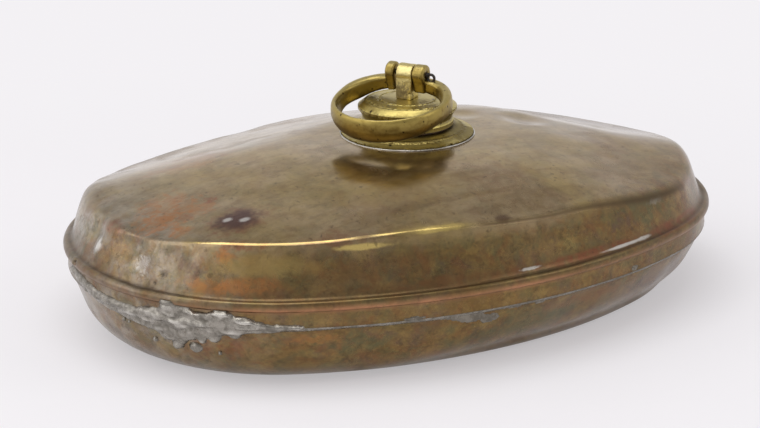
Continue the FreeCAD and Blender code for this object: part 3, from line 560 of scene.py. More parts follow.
def makeSolderWipe(name, run, lumps, folds):
    places = []
    depths = []
    for facing in facingsRound(run["start"], run["end"], lambda turn: wiping["step"]):
        column = []
        depthColumn = []
        for row in range(wiping["rows"]):
            height = wiping["high"] + (wiping["low"] - wiping["high"]) * row / (wiping["rows"] - 1)
            base = ovalPoint(facing, bodyInset(height), height)
            depth = solderDepth(facing, height, base, run, lumps, folds)
            tilt = lowerLean * (1 - ease(height, *wiping["tilted"]))
            level = math.cos(tilt)
            out = Vector((math.cos(facing) * level, math.sin(facing) * level, -math.sin(tilt)))
            column.append(base + out * depth)
            depthColumn.append(depth)
        places.append(column)
        depths.append(depthColumn)
    # thin edges are dirty
    soil = []
    for depthColumn in depths:
        thin = [1 - ease(depth, wiping["thinFrom"], wiping["thinTo"] * run["thick"]) for depth in depthColumn]
        soil.append([max(run["tarnish"], wiping["soiled"] * share) for share in thin])
    wipe = wrapBlank(name, places, closed=False, marks={"depth": depths, "soiled": soil})
    turnOutwards(wipe, wiping["inside"])
    # bare metal between the lumps is cut away
    takeUp(wipe)
    bpy.ops.object.mode_set(mode="EDIT")
    bpy.ops.mesh.select_all(action="DESELECT")
    bpy.ops.object.mode_set(mode="OBJECT")
    depth = wipe.data.attributes["depth"].data
    for face in wipe.data.polygons:
        face.select = all(depth[index].value < 0 for index in face.vertices)
    bpy.ops.object.mode_set(mode="EDIT")
    bpy.ops.mesh.select_mode(type="FACE")
    bpy.ops.mesh.delete(type="FACE")
    bpy.ops.mesh.select_mode(type="VERT")
    bpy.ops.object.mode_set(mode="OBJECT")
    giveGauge(wipe, wiping["gauge"])
    shadeSmooth(wipe, wiping["smooth"])
    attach(wipe, "bottle")
    return wipe


solderWipe = makeSolderWipe("solderWipe", repair, repairLumps, repairFolds)
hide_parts("solder_repair", "solder_splashes")
solderFilm = makeSolderWipe("solderFilm", film, filmLumps, [])
print("repair wiped on:", len(solderWipe.data.polygons), "faces")

# solder round the flange
flangeBead = {
    "radius": 29.35, "wire": 0.4, "seat": 75.8, "sunk": 0.3, "heaped": 2.2, "smooth": 60,
    "around": 220, "section": 14, "grain": ((0.14, 5, 31), (0.1, 2, 32)),
    "soiled": (0.05, 0.5), "soiledFrom": (-0.05, 0.45), "soiledGrain": (9, 33),
}
letGo()
bpy.ops.mesh.primitive_torus_add(
    major_segments=flangeBead["around"], minor_segments=flangeBead["section"],
    major_radius=flangeBead["radius"] * mm, minor_radius=flangeBead["wire"] * mm,
    location=(upper["collar"][0] * mm, upper["collar"][1] * mm, flangeBead["seat"] * mm))
flangeSolder = bpy.context.object
flangeSolder.name = "flangeSolder"
bpy.ops.object.transform_apply(location=True, rotation=True, scale=True)
for vertex in flangeSolder.data.vertices:
    vertex.co.z = max(vertex.co.z, (flangeBead["seat"] - flangeBead["sunk"]) * mm)
flangeSolder.data.update()
pushSurface(flangeSolder, lambda point: uneven(point, flangeBead["grain"]))
flangeSolder.data.attributes.new("soiled", "FLOAT", "POINT")
# the whole bead is marked thick, so the solder finish gives it the painted ridge highlight all round
heaped = flangeSolder.data.attributes.new("depth", "FLOAT", "POINT")
heaped.data.foreach_set("value", [flangeBead["heaped"]] * len(flangeSolder.data.vertices))
for vertex, mark in zip(flangeSolder.data.vertices, flangeSolder.data.attributes["soiled"].data):
    patchy = ease(grain(vertex.co / mm, *flangeBead["soiledGrain"]), *flangeBead["soiledFrom"])
    mark.value = flangeBead["soiled"][0] + flangeBead["soiled"][1] * patchy
shadeSmooth(flangeSolder, flangeBead["smooth"])
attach(flangeSolder, "bottle")
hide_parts("collar_solder")

# worn copies of the turned and cast pieces: edges rounded by use, skin a little uneven
softEdge = 60  # degrees up to which an edge is shaded smooth
crispEdge = 14
softening = 0.5  # share of the way that a point moves in a round of smoothing


def wornCopy(nodeName, pieceName, body, worn=None):
    piece = bpy.data.objects.new(pieceName, nodes[nodeName].data.copy())
    bpy.context.scene.collection.objects.link(piece)
    piece.data.name = pieceName
    piece.data.materials.clear()
    mergeDoubles(piece, copyWeld)
    if worn:
        remesh = piece.modifiers.new("skin", "REMESH")
        remesh.mode = "VOXEL"
        remesh.voxel_size = worn["voxel"] * mm
        soften = piece.modifiers.new("wear", "SMOOTH")
        soften.factor = softening
        soften.iterations = worn["rounds"]
        applyModifiers(piece)
        layers = ((1.0, worn["skinSize"], 41), (0.5, worn["skinSize"] / 2.5, 42))
        pushSurface(piece, lambda point: worn["skin"] * uneven(point, layers))
    shadeSmooth(piece, softEdge if worn else crispEdge)
    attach(piece, body)
    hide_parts(nodeName)
    print(pieceName, "worn:", len(piece.data.polygons), "faces")
    return piece


# how worn: voxel and skin depth in millimetres, rounds of smoothing, size of the unevenness
ringWorn = {"voxel": 0.32, "rounds": 26, "skin": 0.07, "skinSize": 3.0}
lugWorn = {"voxel": 0.28, "rounds": 8, "skin": 0.07, "skinSize": 1.8}
pinWorn = {"voxel": 0.14, "rounds": 2, "skin": 0.04, "skinSize": 1.0}
# the ring was cast with a lens section and rounder arms than a bent strip has
ringShape = {
    "pin": (5.0, -3.0, 102.6), "bearing": 124.0, "droop": 11.8, "centre": 18.7, "radius": 24.2, "drop": 7.3,
    "halfThick": 3, "thicker": 2.8, "near": -3.4, "length": 49.7,
    "lens": 0.5, "tuck": 1.2, "tuckPower": 1.5, "bowFrom": (10, 26),
    "armSwell": 0.42, "armExtra": 0.55, "extraAcross": (7, 12), "swellAlong": (5, 18),
    "armLift": 2.8, "liftAlong": (4, 16), "liftAcross": (7, 23), "liftBelow": (0.5, 6.5),
}


def roundRing(piece):
    turned = Matrix.Rotation(math.radians(ringShape["bearing"]), 4, "Z")
    drooped = Matrix.Rotation(math.radians(-ringShape["droop"]), 4, "X")
    place = Matrix.Translation(Vector(ringShape["pin"]) * mm) @ turned @ drooped
    flat = place.inverted()

    def swell(point):
        spot = (flat @ (point * mm)) / mm
        extra = ringShape["armExtra"] * ease(abs(spot.x), *ringShape["extraAcross"])
        return (ringShape["armSwell"] + extra) * (1 - ease(spot.y, *ringShape["swellAlong"]))

    pushSurface(piece, swell)
    for vertex in piece.data.vertices:
        spot = (flat @ vertex.co) / mm
        # the bow is drawn in above and below its middle
        out = Vector((spot.x, spot.y - ringShape["centre"]))
        thick = ringShape["halfThick"]
        thick += ringShape["thicker"] * (spot.y - ringShape["near"]) / ringShape["length"]
        level = (spot.z + ringShape["drop"]) / thick
        share = ease(spot.y, *ringShape["bowFrom"])
        beyond = out.length - ringShape["radius"]
        moved = -ringShape["lens"] * share * level * level * beyond
        moved -= ringShape["tuck"] * share * max(0.0, -level) ** ringShape["tuckPower"]
        out.normalize()
        spot.x += out.x * moved
        spot.y += out.y * moved
        # the arms are lifted beside the knuckles
        nearEye = 1 - ease(spot.y, *ringShape["liftAlong"])
        nearEye *= 1 - ease(abs(spot.x), *ringShape["liftAcross"])
        spot.z += ringShape["armLift"] * nearEye * ease(-spot.z, *ringShape["liftBelow"])
        vertex.co = place @ (spot * mm)
    piece.data.update()


ringHandle = wornCopy("ring_handle", "ringHandle", "ring", ringWorn)
roundRing(ringHandle)
ringLug = wornCopy("ring_lug", "ringLug", "cap", lugWorn)
screwCap = wornCopy("screw_cap", "screwCap", "cap")
fillerCollar = wornCopy("filler_collar", "fillerCollar", "bottle")
ringPin = wornCopy("ring_pin", "ringPin", "cap", pinWorn)

# leather washer squeezed between cap and collar
washer = {
    "outer": 19.4, "bore": 15.2, "low": 79.3, "high": 80.5, "corner": 0.5, "edge": 0.1, "edgeRise": 0.2,
    "bulge": 0.12, "hollow": 0.1, "probe": 20, "swell": ((0.15, 3, 51),), "columns": 120, "smooth": 50,
}


def washerColumn(turn):
    outer, bore, low, high = (washer[name] for name in ("outer", "bore", "low", "high"))
    middle = (low + high) / 2
    probe = Vector((washer["probe"] * math.cos(turn), washer["probe"] * math.sin(turn), 0))
    bulge = washer["bulge"] + uneven(probe, washer["swell"])
    section = [
        (bore, low), (outer - washer["corner"], low), (outer - washer["edge"], low + washer["edgeRise"]),
        (outer + bulge, middle), (outer - washer["edge"], high - washer["edgeRise"]),
        (outer - washer["corner"], high), (bore, high), (bore - washer["hollow"], middle),
    ]
    loop = []
    for reach, height in section + section[:1]:
        x = upper["collar"][0] + reach * math.cos(turn)
        loop.append(Vector((x, upper["collar"][1] + reach * math.sin(turn), height)))
    return loop


washerTurns = [2 * math.pi * column / washer["columns"] for column in range(washer["columns"])]
capWasher = wrapBlank("capWasher", [washerColumn(turn) for turn in washerTurns])
shadeSmooth(capWasher, washer["smooth"])
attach(capWasher, "washer")
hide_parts("cap_washer")


# shader helpers
def feed(tree, socket, value):
    if isinstance(value, bpy.types.NodeSocket):
        tree.links.new(value, socket)
    else:
        socket.default_value = value


def put(tree, kind, settings=None, sockets=None):
    node = tree.nodes.new("ShaderNode" + kind)
    for name, value in (settings or {}).items():
        setattr(node, name, value)
    for name, value in (sockets or {}).items():
        feed(tree, node.inputs[name], value)
    return node


def mixTone(tree, share, first, second):
    return put(tree, "Mix", {"data_type": "RGBA"}, {0: share, 6: first, 7: second}).outputs[2]


def sums(tree, operation, *values):
    return put(tree, "Math", {"operation": operation}, dict(enumerate(values))).outputs[0]


def times(tree, first, second):
    return sums(tree, "MULTIPLY", first, second)


def timesAdd(tree, first, second, third):
    return sums(tree, "MULTIPLY_ADD", first, second, third)


def vectors(tree, operation, *values):
    return put(tree, "VectorMath", {"operation": operation}, dict(enumerate(values)))


def axis(tree, vector, name):
    return put(tree, "SeparateXYZ", None, {"Vector": vector}).outputs[name]


def readMark(tree, name):
    return put(tree, "Attribute", {"attribute_name": name}).outputs["Fac"]


def spread(tree, value, low, high, toLow=0.0, toHigh=1.0):
    node = put(tree, "MapRange", {"interpolation_type": "SMOOTHSTEP"}, {
        "Value": value, "From Min": low, "From Max": high, "To Min": toLow, "To Max": toHigh})
    return node.outputs[0]


def newGroup(name, vectorInputs, floatInputs, outputs):
    group = bpy.data.node_groups.new(name, "ShaderNodeTree")
    for direction, kind, names in (
            ("INPUT", "Vector", vectorInputs), ("INPUT", "Float", floatInputs), ("OUTPUT", "Float", outputs)):
        for socketName in names:
            group.interface.new_socket(socketName, in_out=direction, socket_type="NodeSocket" + kind)
    return group, group.nodes.new("NodeGroupInput").outputs, group.nodes.new("NodeGroupOutput").inputs


def useGroup(tree, group, sockets):
    return put(tree, "Group", {"node_tree": group}, sockets)


# soft cloudy patches of tarnish
mottle, given, made = newGroup("mottle", ("Vector",), ("Scale", "Low", "High"), ("Mask",))
cloud = put(mottle, "TexNoise", None, {
    "Vector": given["Vector"], "Scale": given["Scale"], "Detail": 6.0, "Roughness": 0.62, "Distortion": 0.5})
mottle.links.new(spread(mottle, cloud.outputs[0], given["Low"], given["High"]), made["Mask"])

# one ragged patch at a place
patch, given, made = newGroup("patch", ("Vector", "Centre", "Reach"), ("Ragged", "Grain"), ("Mask",))
patchEdge = (0.4, 1.05)  # full inside the first, gone beyond the second
offset = vectors(patch, "SUBTRACT", given["Vector"], given["Centre"])
scaled = vectors(patch, "DIVIDE", offset.outputs[0], given["Reach"])
apart = vectors(patch, "LENGTH", scaled.outputs[0])
cloud = put(patch, "TexNoise", None, {
    "Vector": given["Vector"], "Scale": given["Grain"], "Detail": 4.0, "Roughness": 0.6})
centred = sums(patch, "SUBTRACT", cloud.outputs[0], 0.5)
shifted = timesAdd(patch, centred, given["Ragged"], apart.outputs["Value"])
patch.links.new(spread(patch, shifted, *patchEdge, 1.0, 0.0), made["Mask"])

# fine scratches and rubbing marks
scratch, given, made = newGroup("scratch", ("Vector", "Along"), (), ("Height",))
stretched = vectors(scratch, "MULTIPLY", given["Vector"], given["Along"])
lines = put(scratch, "TexNoise", None, {
    "Vector": stretched.outputs[0], "Scale": 1.0, "Detail": 5.0, "Roughness": 0.7})
scratch.links.new(lines.outputs[0], made["Height"])

# pitted skin of a sand casting
casting, given, made = newGroup("casting", ("Vector",), ("Scale", "Depth"), ("Height", "Pits"))
pitSize = (0.12, 0.3)
pitField = (0.54, 0.6)
skinHeight = 0.35
cells = put(casting, "TexVoronoi", {"feature": "F1"}, {"Vector": given["Vector"], "Scale": given["Scale"]})
field = put(casting, "TexNoise", None, {"Vector": given["Vector"], "Scale": 260.0, "Detail": 3.0})
near = spread(casting, cells.outputs["Distance"], *pitSize, 1.0, 0.0)
pits = times(casting, near, spread(casting, field.outputs[0], *pitField))
fine = put(casting, "TexNoise", None, {"Vector": given["Vector"], "Scale": 1500.0, "Detail": 4.0})
casting.links.new(pits, made["Pits"])
rise = times(casting, fine.outputs[0], skinHeight)
casting.links.new(sums(casting, "SUBTRACT", rise, times(casting, pits, given["Depth"])), made["Height"])
patchGrain = 3600.0  # grain of a patch, finer for a smaller one


def clouds(tree, place, scale, low, high):
    return useGroup(tree, mottle, {"Vector": place, "Scale": scale, "Low": low, "High": high}).outputs[0]


def patchMask(tree, place, centre, reach, ragged):
    return useGroup(tree, patch, {
        "Vector": place, "Centre": Vector(centre) * mm, "Reach": Vector(reach) * mm,
        "Ragged": ragged, "Grain": patchGrain / max(reach)}).outputs[0]


def newFinish(name):
    finish = bpy.data.materials.new(name)
    finish.use_nodes = True
    tree = finish.node_tree
    return finish, tree, tree.nodes["Principled BSDF"], put(tree, "TexCoord").outputs["Object"]


def layOn(tree, shader, colour, rough, metallic):
    feed(tree, shader.inputs["Base Color"], colour)
    feed(tree, shader.inputs["Roughness"], rough)
    shader.inputs["Metallic"].default_value = metallic


def addBump(tree, shader, height, strength, distance):
    bump = put(tree, "Bump", None, {"Strength": strength, "Distance": distance * mm, "Height": height})
    tree.links.new(bump.outputs[0], shader.inputs["Normal"])


def tone(red, green, blue):
    return (red, green, blue, 1.0)


# tarnished sheet: olive brown with copper blooms; wear and painted highlights on bead and shoulder, painted
# shade from the dirt mark
sheetTones = {
    "olive": tone(0.412, 0.302, 0.124), "taupe": tone(0.44, 0.33, 0.19), "umber": tone(0.145, 0.077, 0.021),
    "green": tone(0.12, 0.12, 0.06), "copper": tone(0.44, 0.175, 0.05), "red": tone(0.25, 0.075, 0.04),
    "stain": tone(0.085, 0.036, 0.027), "pale": tone(0.72, 0.69, 0.63), "black": tone(0.012, 0.010, 0.009),
    "brass": tone(0.80, 0.60, 0.20), "pink": tone(0.45, 0.215, 0.11), "dirt": tone(0.085, 0.055, 0.028),
    "ashAndSheen": tone(0.38, 0.345, 0.30), "rust": tone(0.22, 0.10, 0.04), "plum": tone(0.13, 0.075, 0.065),
    "soot": tone(0.055, 0.04, 0.022), "ochre": tone(0.42, 0.29, 0.095),
}
# clouds are scale, from, to; places are in metres
sheetLook = {
    "base": (22.0, 0.36, 0.66), "dark": (44.0, 0.47, 0.66), "wallShare": 0.72,
    "leftEnd": (-0.088, -0.142), "ashAndSheen": (48.0, 0.3, 0.62), "ashAndSheenShare": (0.25, 0.72),
    "rightEnd": (-0.01, 0.12), "rightShare": 0.3,
    "drawn": (0.2, 1.0, 1.0), "streaks": (110.0, 0.44, 0.66), "streakShare": 0.3,
    "veil": (190.0, 0.36, 0.62), "veilShare": (0.35, 1.0),
    "specks": (420.0, 0.58, 0.7), "speckShare": 0.5, "dirtShare": 0.6,
    "pinkWearAndHighlight": (90.0, 0.4, 0.6), "rubbedShare": (0.55, 1.0),
    "creaseWearAndHighlight": (40.0, 0.5, 0.6), "creaseShare": (0.5, 0.95), "creaseRough": -0.06,
    "rough": 0.13, "baseRough": 0.07, "darkRough": 0.1, "wallRough": 0.06, "dirtRough": 0.2,
    "metallic": 0.92, "coat": 0.05, "coatRough": 0.16, "scratched": (160, 900, 900), "bump": (0.25, 0.12),
}
# layers of tarnish: colour, scale, from, to, share on the crown, share on the walls
tarnish = (
    ("umber", 44.0, 0.44, 0.68, 0.22, 0.4), ("green", 92.0, 0.44, 0.62, 0.2, 0.55),
    ("plum", 74.0, 0.48, 0.66, 0.14, 0.45), ("rust", 128.0, 0.46, 0.64, 0.2, 0.55),
    ("ochre", 110.0, 0.5, 0.68, 0.2, 0.3), ("soot", 230.0, 0.48, 0.68, 0.16, 0.42),
    ("ochre", 700.0, 0.45, 0.7, 0.12, 0.22),
)
# patches on the upper shell: place, reach, colour, strength, raggedness
upperPatches = [
    ((-116, -14, 64), (18, 14, 9), "copper", 0.6, 2.6), ((-124, -24, 62), (13, 11, 9), "copper", 0.65, 2.4),
    ((-109, -26, 65), (11, 9, 8), "copper", 0.5, 2.4), ((-122, -38, 60.6), (7, 6, 4), "copper", 0.8, 1.2),
    ((-139, -8, 57), (10, 10, 3), "red", 0.55, 1.4), ((-109, -69, 45.5), (22, 18, 4.6), "copper", 0.6, 1.5),
    ((-120, -59, 44), (13, 12, 4), "copper", 0.55, 1.8), ((-112, -60, 56), (6, 6, 5), "copper", 0.65, 1.5),
    ((-104, -63, 60), (14, 10, 2.2), "red", 0.6, 1.6), ((-100.9, -22.6, 67), (4.5, 3.8, 4), "red", 0.55, 1.4),
    ((-115.4, -28.7, 63.3), (4.5, 4, 4), "red", 0.7, 1.2), ((-100.4, -48, 65), (17, 13, 8), "red", 0.5, 1.8),
    ((-100.9, -47.2, 66), (13, 10, 8), "stain", 0.92, 0.9),
    ((-104, -44.7, 66), (2.7, 2.1, 5), "pale", 0.7, 0.5),
    ((-98.5, -49.2, 66.2), (3, 2.2, 5), "pale", 0.7, 0.5),
    ((-2.3, -92.9, 62.6), (4.5, 4, 2.6), "stain", 0.65, 1.0),
    ((-70, -80, 62), (30, 10, 3), "red", 0.35, 2.2), ((40, -97, 42), (60, 9, 2.6), "red", 0.75, 1.4),
    ((92, -80, 41.5), (34, 22, 2.6), "red", 0.75, 1.4), ((-40, -97, 42.5), (60, 10, 3), "rust", 0.7, 1.6),
    ((70, -84, 52), (30, 14, 7), "green", 0.6, 2.0), ((60, -92, 50), (10, 8, 5), "plum", 0.5, 2.0),
    ((-85, 30, 68), (24, 20, 9), "copper", 0.35, 2.4), ((60, 60, 66), (20, 24, 9), "copper", 0.4, 2.4),
    ((10, -60, 70), (26, 18, 9), "rust", 0.3, 2.6), ((-40, -66, 68), (22, 14, 9), "rust", 0.25, 2.6),
    # painted highlights: a white spot on the left end's bulge, and a pale streak among the dents below it
    ((-143.2, -1.6, 49), (4.6, 5.4, 4.4), "pale", 0.97, 0.4),
    ((-136.5, -33, 48), (5, 5, 5), "pale", 0.5, 1.6),
    # painted glints on the wall's foot just above the bead, and a faint painted sheen higher on the right
    # front
    ((58, -94, 41.3), (17, 8, 0.8), "pale", 0.95, 0.7), ((5.8, -101.2, 42.2), (6, 4, 0.8), "pale", 0.85, 0.9),
    ((70, -90.6, 41.3), (7, 5, 1.0), "pale", 0.9, 0.7), ((83, -81.7, 53.5), (7, 5, 1.6), "pale", 0.22, 1.8),
    ((-138, 24, 52), (16, 22, 9), "pale", 0.35, 1.5), ((12, -84, 64.5), (34, 12, 5), "umber", 0.3, 1.4),
    ((-100, -72, 53), (34, 26, 5.5), "ochre", 0.5, 1.0), ((-58, -91, 51), (40, 14, 6), "rust", 0.3, 1.2),
    ((-28, -61, 70), (34, 16, 8), "ochre", 0.3, 1.0), ((-124, -52, 50), (8, 8, 8), "plum", 0.45, 1.2),
    # painted highlight: brass patches that widen the shoulder's bright line
    ((-63, -85, 59), (16, 8, 1.5), "brass", 0.85, 0.9), ((-31, -89.9, 62.4), (14, 5, 1.5), "brass", 0.9, 0.9),
    ((-149.4, 8.7, 38.6), (1.9, 1.9, 1.6), "black", 1.0, 0.4),
    ((-132.4, -43.7, 46.2), (1.5, 1.5, 1.3), "black", 0.95, 0.4),
    ((-135.6, -40.9, 42.4), (1.2, 1.2, 1.0), "black", 0.95, 0.4),
]
lowerPatches = [
    ((-36, -84, 9), (20, 14, 5), "copper", 0.15, 2.2), ((-66, -88, 20), (18, 12, 6), "green", 0.6, 2.2),
    ((10, -98, 16), (44, 12, 8), "green", 0.6, 2.4), ((40, -96, 23), (24, 12, 4), "rust", 0.6, 2.2),
    ((-110, -62, 19), (16, 16, 6), "red", 0.4, 2.2), ((84, -80, 18), (30, 18, 8), "plum", 0.5, 2.4),
    ((-84, -84, 24), (12, 10, 4), "copper", 0.4, 1.8), ((-20, -94, 24), (16, 10, 3), "rust", 0.3, 2.0),
]
# heights in metres between which crown turns into wall
crownToWall = (0.063, 0.052)
panToWall = (0.034, 0.026)


def makeSheetFinish(name, patches, worn, toWall):
    finish, tree, shader, place = newFinish(name)

    def cloudAt(layer, share=None):
        cloudy = clouds(tree, place, *sheetLook[layer])
        return spread(tree, cloudy, 0.0, 1.0, *sheetLook[share]) if share else cloudy

    def glaze(share, toneName):
        # one more layer over the colour so far
        return mixTone(tree, share, colour, sheetTones[toneName])

    cloudy = cloudAt("base")
    dark = cloudAt("dark")
    along = axis(tree, place, "X")
    wall = spread(tree, axis(tree, place, "Z"), *toWall)
    colour = mixTone(tree, cloudy, sheetTones["olive"], sheetTones["taupe"])
    colour = glaze(times(tree, wall, sheetLook["wallShare"]), "umber")
    # a grey bloom and a painted reflection of the bright left over the left end, duller towards the right
    left = spread(tree, along, *sheetLook["leftEnd"])
    colour = glaze(times(tree, left, cloudAt("ashAndSheen", "ashAndSheenShare")), "ashAndSheen")
    colour = glaze(spread(tree, along, *sheetLook["rightEnd"], 0.0, sheetLook["rightShare"]), "plum")
    for toneName, scale, low, high, onCrown, onWall in tarnish:
        share = spread(tree, wall, 0.0, 1.0, onCrown, onWall)
        colour = glaze(times(tree, clouds(tree, place, scale, low, high), share), toneName)
    # streaks drawn out along the length
    drawn = vectors(tree, "MULTIPLY", place, sheetLook["drawn"]).outputs[0]
    streaks = clouds(tree, drawn, *sheetLook["streaks"])
    colour = glaze(times(tree, streaks, sheetLook["streakShare"]), "umber")
    veil = cloudAt("veil", "veilShare")
    for centre, reach, toneName, strength, ragged in patches:
        mask = patchMask(tree, place, centre, reach, ragged)
        if ragged > 1:
            mask = times(tree, mask, veil)
        colour = glaze(times(tree, mask, strength), toneName)
    # the dirt mark holds dirt and painted shade: on the bead and the groove above it, on the shoulder where
    # its reflection is dimmed, and on the pan's bottom
    dirt = readMark(tree, "dirt")
    colour = glaze(times(tree, cloudAt("specks"), sheetLook["speckShare"]), "dirt")
    colour = glaze(times(tree, dirt, sheetLook["dirtShare"]), "dirt")
    rough = timesAdd(tree, cloudy, sheetLook["baseRough"], sheetLook["rough"])
    rough = timesAdd(tree, dark, sheetLook["darkRough"], rough)
    rough = timesAdd(tree, wall, sheetLook["wallRough"], rough)
    rough = timesAdd(tree, dirt, sheetLook["dirtRough"], rough)
    if worn:
        # wear and painted highlights: the pink line on the bead's lower edge, and the bright crease line and
        # bead top line in brass
        creaseWearAndHighlight = readMark(tree, "creaseWearAndHighlight")
        colour = glaze(times(tree, readMark(tree, "pinkWearAndHighlight"), cloudAt("pinkWearAndHighlight", "rubbedShare")), "pink")
        colour = glaze(times(tree, creaseWearAndHighlight, cloudAt("creaseWearAndHighlight", "creaseShare")), "brass")
        rough = timesAdd(tree, creaseWearAndHighlight, sheetLook["creaseRough"], rough)
    layOn(tree, shader, colour, rough, sheetLook["metallic"])
    shader.inputs["Coat Weight"].default_value = sheetLook["coat"]
    shader.inputs["Coat Roughness"].default_value = sheetLook["coatRough"]
    scratches = useGroup(tree, scratch, {"Vector": place, "Along": Vector(sheetLook["scratched"])})
    addBump(tree, shader, scratches.outputs["Height"], *sheetLook["bump"])
    return finish


crownShell.data.materials.append(makeSheetFinish("tarnishedCrown", upperPatches, True, crownToWall))
panShell.data.materials.append(makeSheetFinish("tarnishedPan", lowerPatches, False, panToWall))

# solder: dull grey skin with a painted highlight on the thickest lumps and dirt between them
solderLook = {
    "skin": tone(0.34, 0.315, 0.275), "dull": tone(0.17, 0.155, 0.13), "dullClouds": (260.0, 0.35, 0.68),
    "dirt": tone(0.12, 0.095, 0.07), "dirtClouds": (620.0, 0.56, 0.72), "dirtShare": 0.6,
    "ridgeHighlight": tone(0.68, 0.65, 0.59), "ridgeHighlightDepth": (1.3, 2.3), "ridgeHighlightShare": 0.8,
    "soil": tone(0.10, 0.078, 0.045), "soilShare": 0.85,
    "rough": 0.2, "dullRough": 0.2, "metallic": 0.8, "grain": 900.0, "bump": (0.4, 0.4),
}
finish, tree, shader, place = newFinish("wipedSolder")
dull = clouds(tree, place, *solderLook["dullClouds"])
colour = mixTone(tree, dull, solderLook["skin"], solderLook["dull"])
dirty = clouds(tree, place, *solderLook["dirtClouds"])
colour = mixTone(tree, times(tree, dirty, solderLook["dirtShare"]), colour, solderLook["dirt"])
# painted highlight on the thickest lumps, read from the depth mark
ridgeHighlight = spread(tree, readMark(tree, "depth"), *solderLook["ridgeHighlightDepth"], 0.0, solderLook["ridgeHighlightShare"])
colour = mixTone(tree, ridgeHighlight, colour, solderLook["ridgeHighlight"])
soil = times(tree, readMark(tree, "soiled"), solderLook["soilShare"])
colour = mixTone(tree, soil, colour, solderLook["soil"])
rough = timesAdd(tree, dull, solderLook["dullRough"], solderLook["rough"])
layOn(tree, shader, colour, rough, solderLook["metallic"])
skin = put(tree, "TexNoise", None, {"Vector": place, "Scale": solderLook["grain"], "Detail": 5.0})
addBump(tree, shader, skin.outputs[0], *solderLook["bump"])
for piece in (seamSolder, solderWipe, solderFilm, flangeSolder):
    piece.data.materials.append(finish)

# brass: golden, brown in clouds and dark in the turned grooves, with painted shade on sides and undersides
# and, on cast pieces, a painted highlight on upward faces
brassLook = {
    "brownClouds": (130.0, 0.46, 0.74), "fineClouds": (520.0, 0.5, 0.75), "fine": tone(0.16, 0.10, 0.03),
    "fineShare": 0.35, "undersideShade": tone(0.10, 0.066, 0.02), "undersideShadeFrom": -0.75, "turnedShadeTo": 0.9,
    "castShadeTo": 0.3, "line": tone(0.10, 0.065, 0.022), "lineCore": 0.3, "edge": tone(0.56, 0.46, 0.18),
    "topHighlightFrom": (0.5, 0.95), "topHighlightShare": 0.6, "pit": tone(0.035, 0.022, 0.010), "rough": 0.37,
    "brownRough": 0.12, "patchRough": 0.25, "metallic": 1.0, "bump": (0.35, 0.2),
}
# dark lines round the turned pieces: height and reach in metres, share
turnedLines = ((0.0780, 0.0009, 0.5), (0.0797, 0.0010, 0.75), (0.0832, 0.0008, 0.45))
castPatches = [
    ((0.6, -3.6, 94), (6, 6, 5.5), tone(0.20, 0.155, 0.085), 0.8, 2.4),
    ((-12, -19, 93), (3, 3, 1.2), tone(0.05, 0.03, 0.012), 0.9, 1.0),
]
flangePatches = [((24, -20, 77.5), (14, 14, 5), tone(0.2, 0.155, 0.065), 0.7, 1.2)]
ringMetal = {
    "bright": tone(0.375, 0.28, 0.08), "brown": tone(0.21, 0.14, 0.032), "undersideShade": 0.75,
    "pitScale": 420.0, "pitDepth": 0.3, "turned": False, "patches": castPatches,
}
lugMetal = {
    "bright": tone(0.80, 0.68, 0.30), "brown": tone(0.45, 0.345, 0.13), "undersideShade": 0.2,
    "pitScale": 420.0, "pitDepth": 0.4, "turned": False, "patches": castPatches,
}
turnedMetal = {
    "bright": tone(0.57, 0.465, 0.155), "brown": tone(0.31, 0.23, 0.068), "undersideShade": 0.75,
    "pitScale": 300.0, "pitDepth": 0.4, "turned": True, "patches": flangePatches,
}


def makeBrassFinish(name, metal):
    finish, tree, shader, place = newFinish(name)
    cast = useGroup(tree, casting, {"Vector": place, "Scale": metal["pitScale"], "Depth": metal["pitDepth"]})
    brown = clouds(tree, place, *brassLook["brownClouds"])
    colour = mixTone(tree, brown, metal["bright"], metal["brown"])
    fine = clouds(tree, place, *brassLook["fineClouds"])
    colour = mixTone(tree, times(tree, fine, brassLook["fineShare"]), colour, brassLook["fine"])
    # painted shade: sides and undersides are darkened by the direction they face
    upward = axis(tree, put(tree, "TexCoord").outputs["Normal"], "Z")
    shadeTo = brassLook["turnedShadeTo"] if metal["turned"] else brassLook["castShadeTo"]
    undersideShade = spread(tree, upward, brassLook["undersideShadeFrom"], shadeTo, metal["undersideShade"], 0.0)
    colour = mixTone(tree, undersideShade, colour, brassLook["undersideShade"])
    rough = timesAdd(tree, brown, brassLook["brownRough"], brassLook["rough"])
    if metal["turned"]:
        # dark lines left where the polish never reached
        height = axis(tree, place, "Z")
        for level, reach, share in turnedLines:
            gap = sums(tree, "ABSOLUTE", sums(tree, "SUBTRACT", height, level))
            line = spread(tree, gap, reach * brassLook["lineCore"], reach, share, 0.0)
            colour = mixTone(tree, line, colour, brassLook["line"])
    else:
        # painted highlight: faces turned upwards are made brighter
        edge = spread(tree, upward, *brassLook["topHighlightFrom"], 0.0, brassLook["topHighlightShare"])
        colour = mixTone(tree, edge, colour, brassLook["edge"])
    for centre, reach, patchTone, strength, ragged in metal["patches"]:
        mask = patchMask(tree, place, centre, reach, ragged)
        colour = mixTone(tree, times(tree, mask, strength), colour, patchTone)
        rough = timesAdd(tree, mask, brassLook["patchRough"], rough)
    colour = mixTone(tree, cast.outputs["Pits"], colour, brassLook["pit"])
    layOn(tree, shader, colour, rough, brassLook["metallic"])
    addBump(tree, shader, cast.outputs["Height"], *brassLook["bump"])
    return finish


ringHandle.data.materials.append(makeBrassFinish("ringBrass", ringMetal))
ringLug.data.materials.append(makeBrassFinish("lugBrass", lugMetal))
turnedBrass = makeBrassFinish("turnedBrass", turnedMetal)
for piece in (screwCap, fillerCollar):
    piece.data.materials.append(turnedBrass)

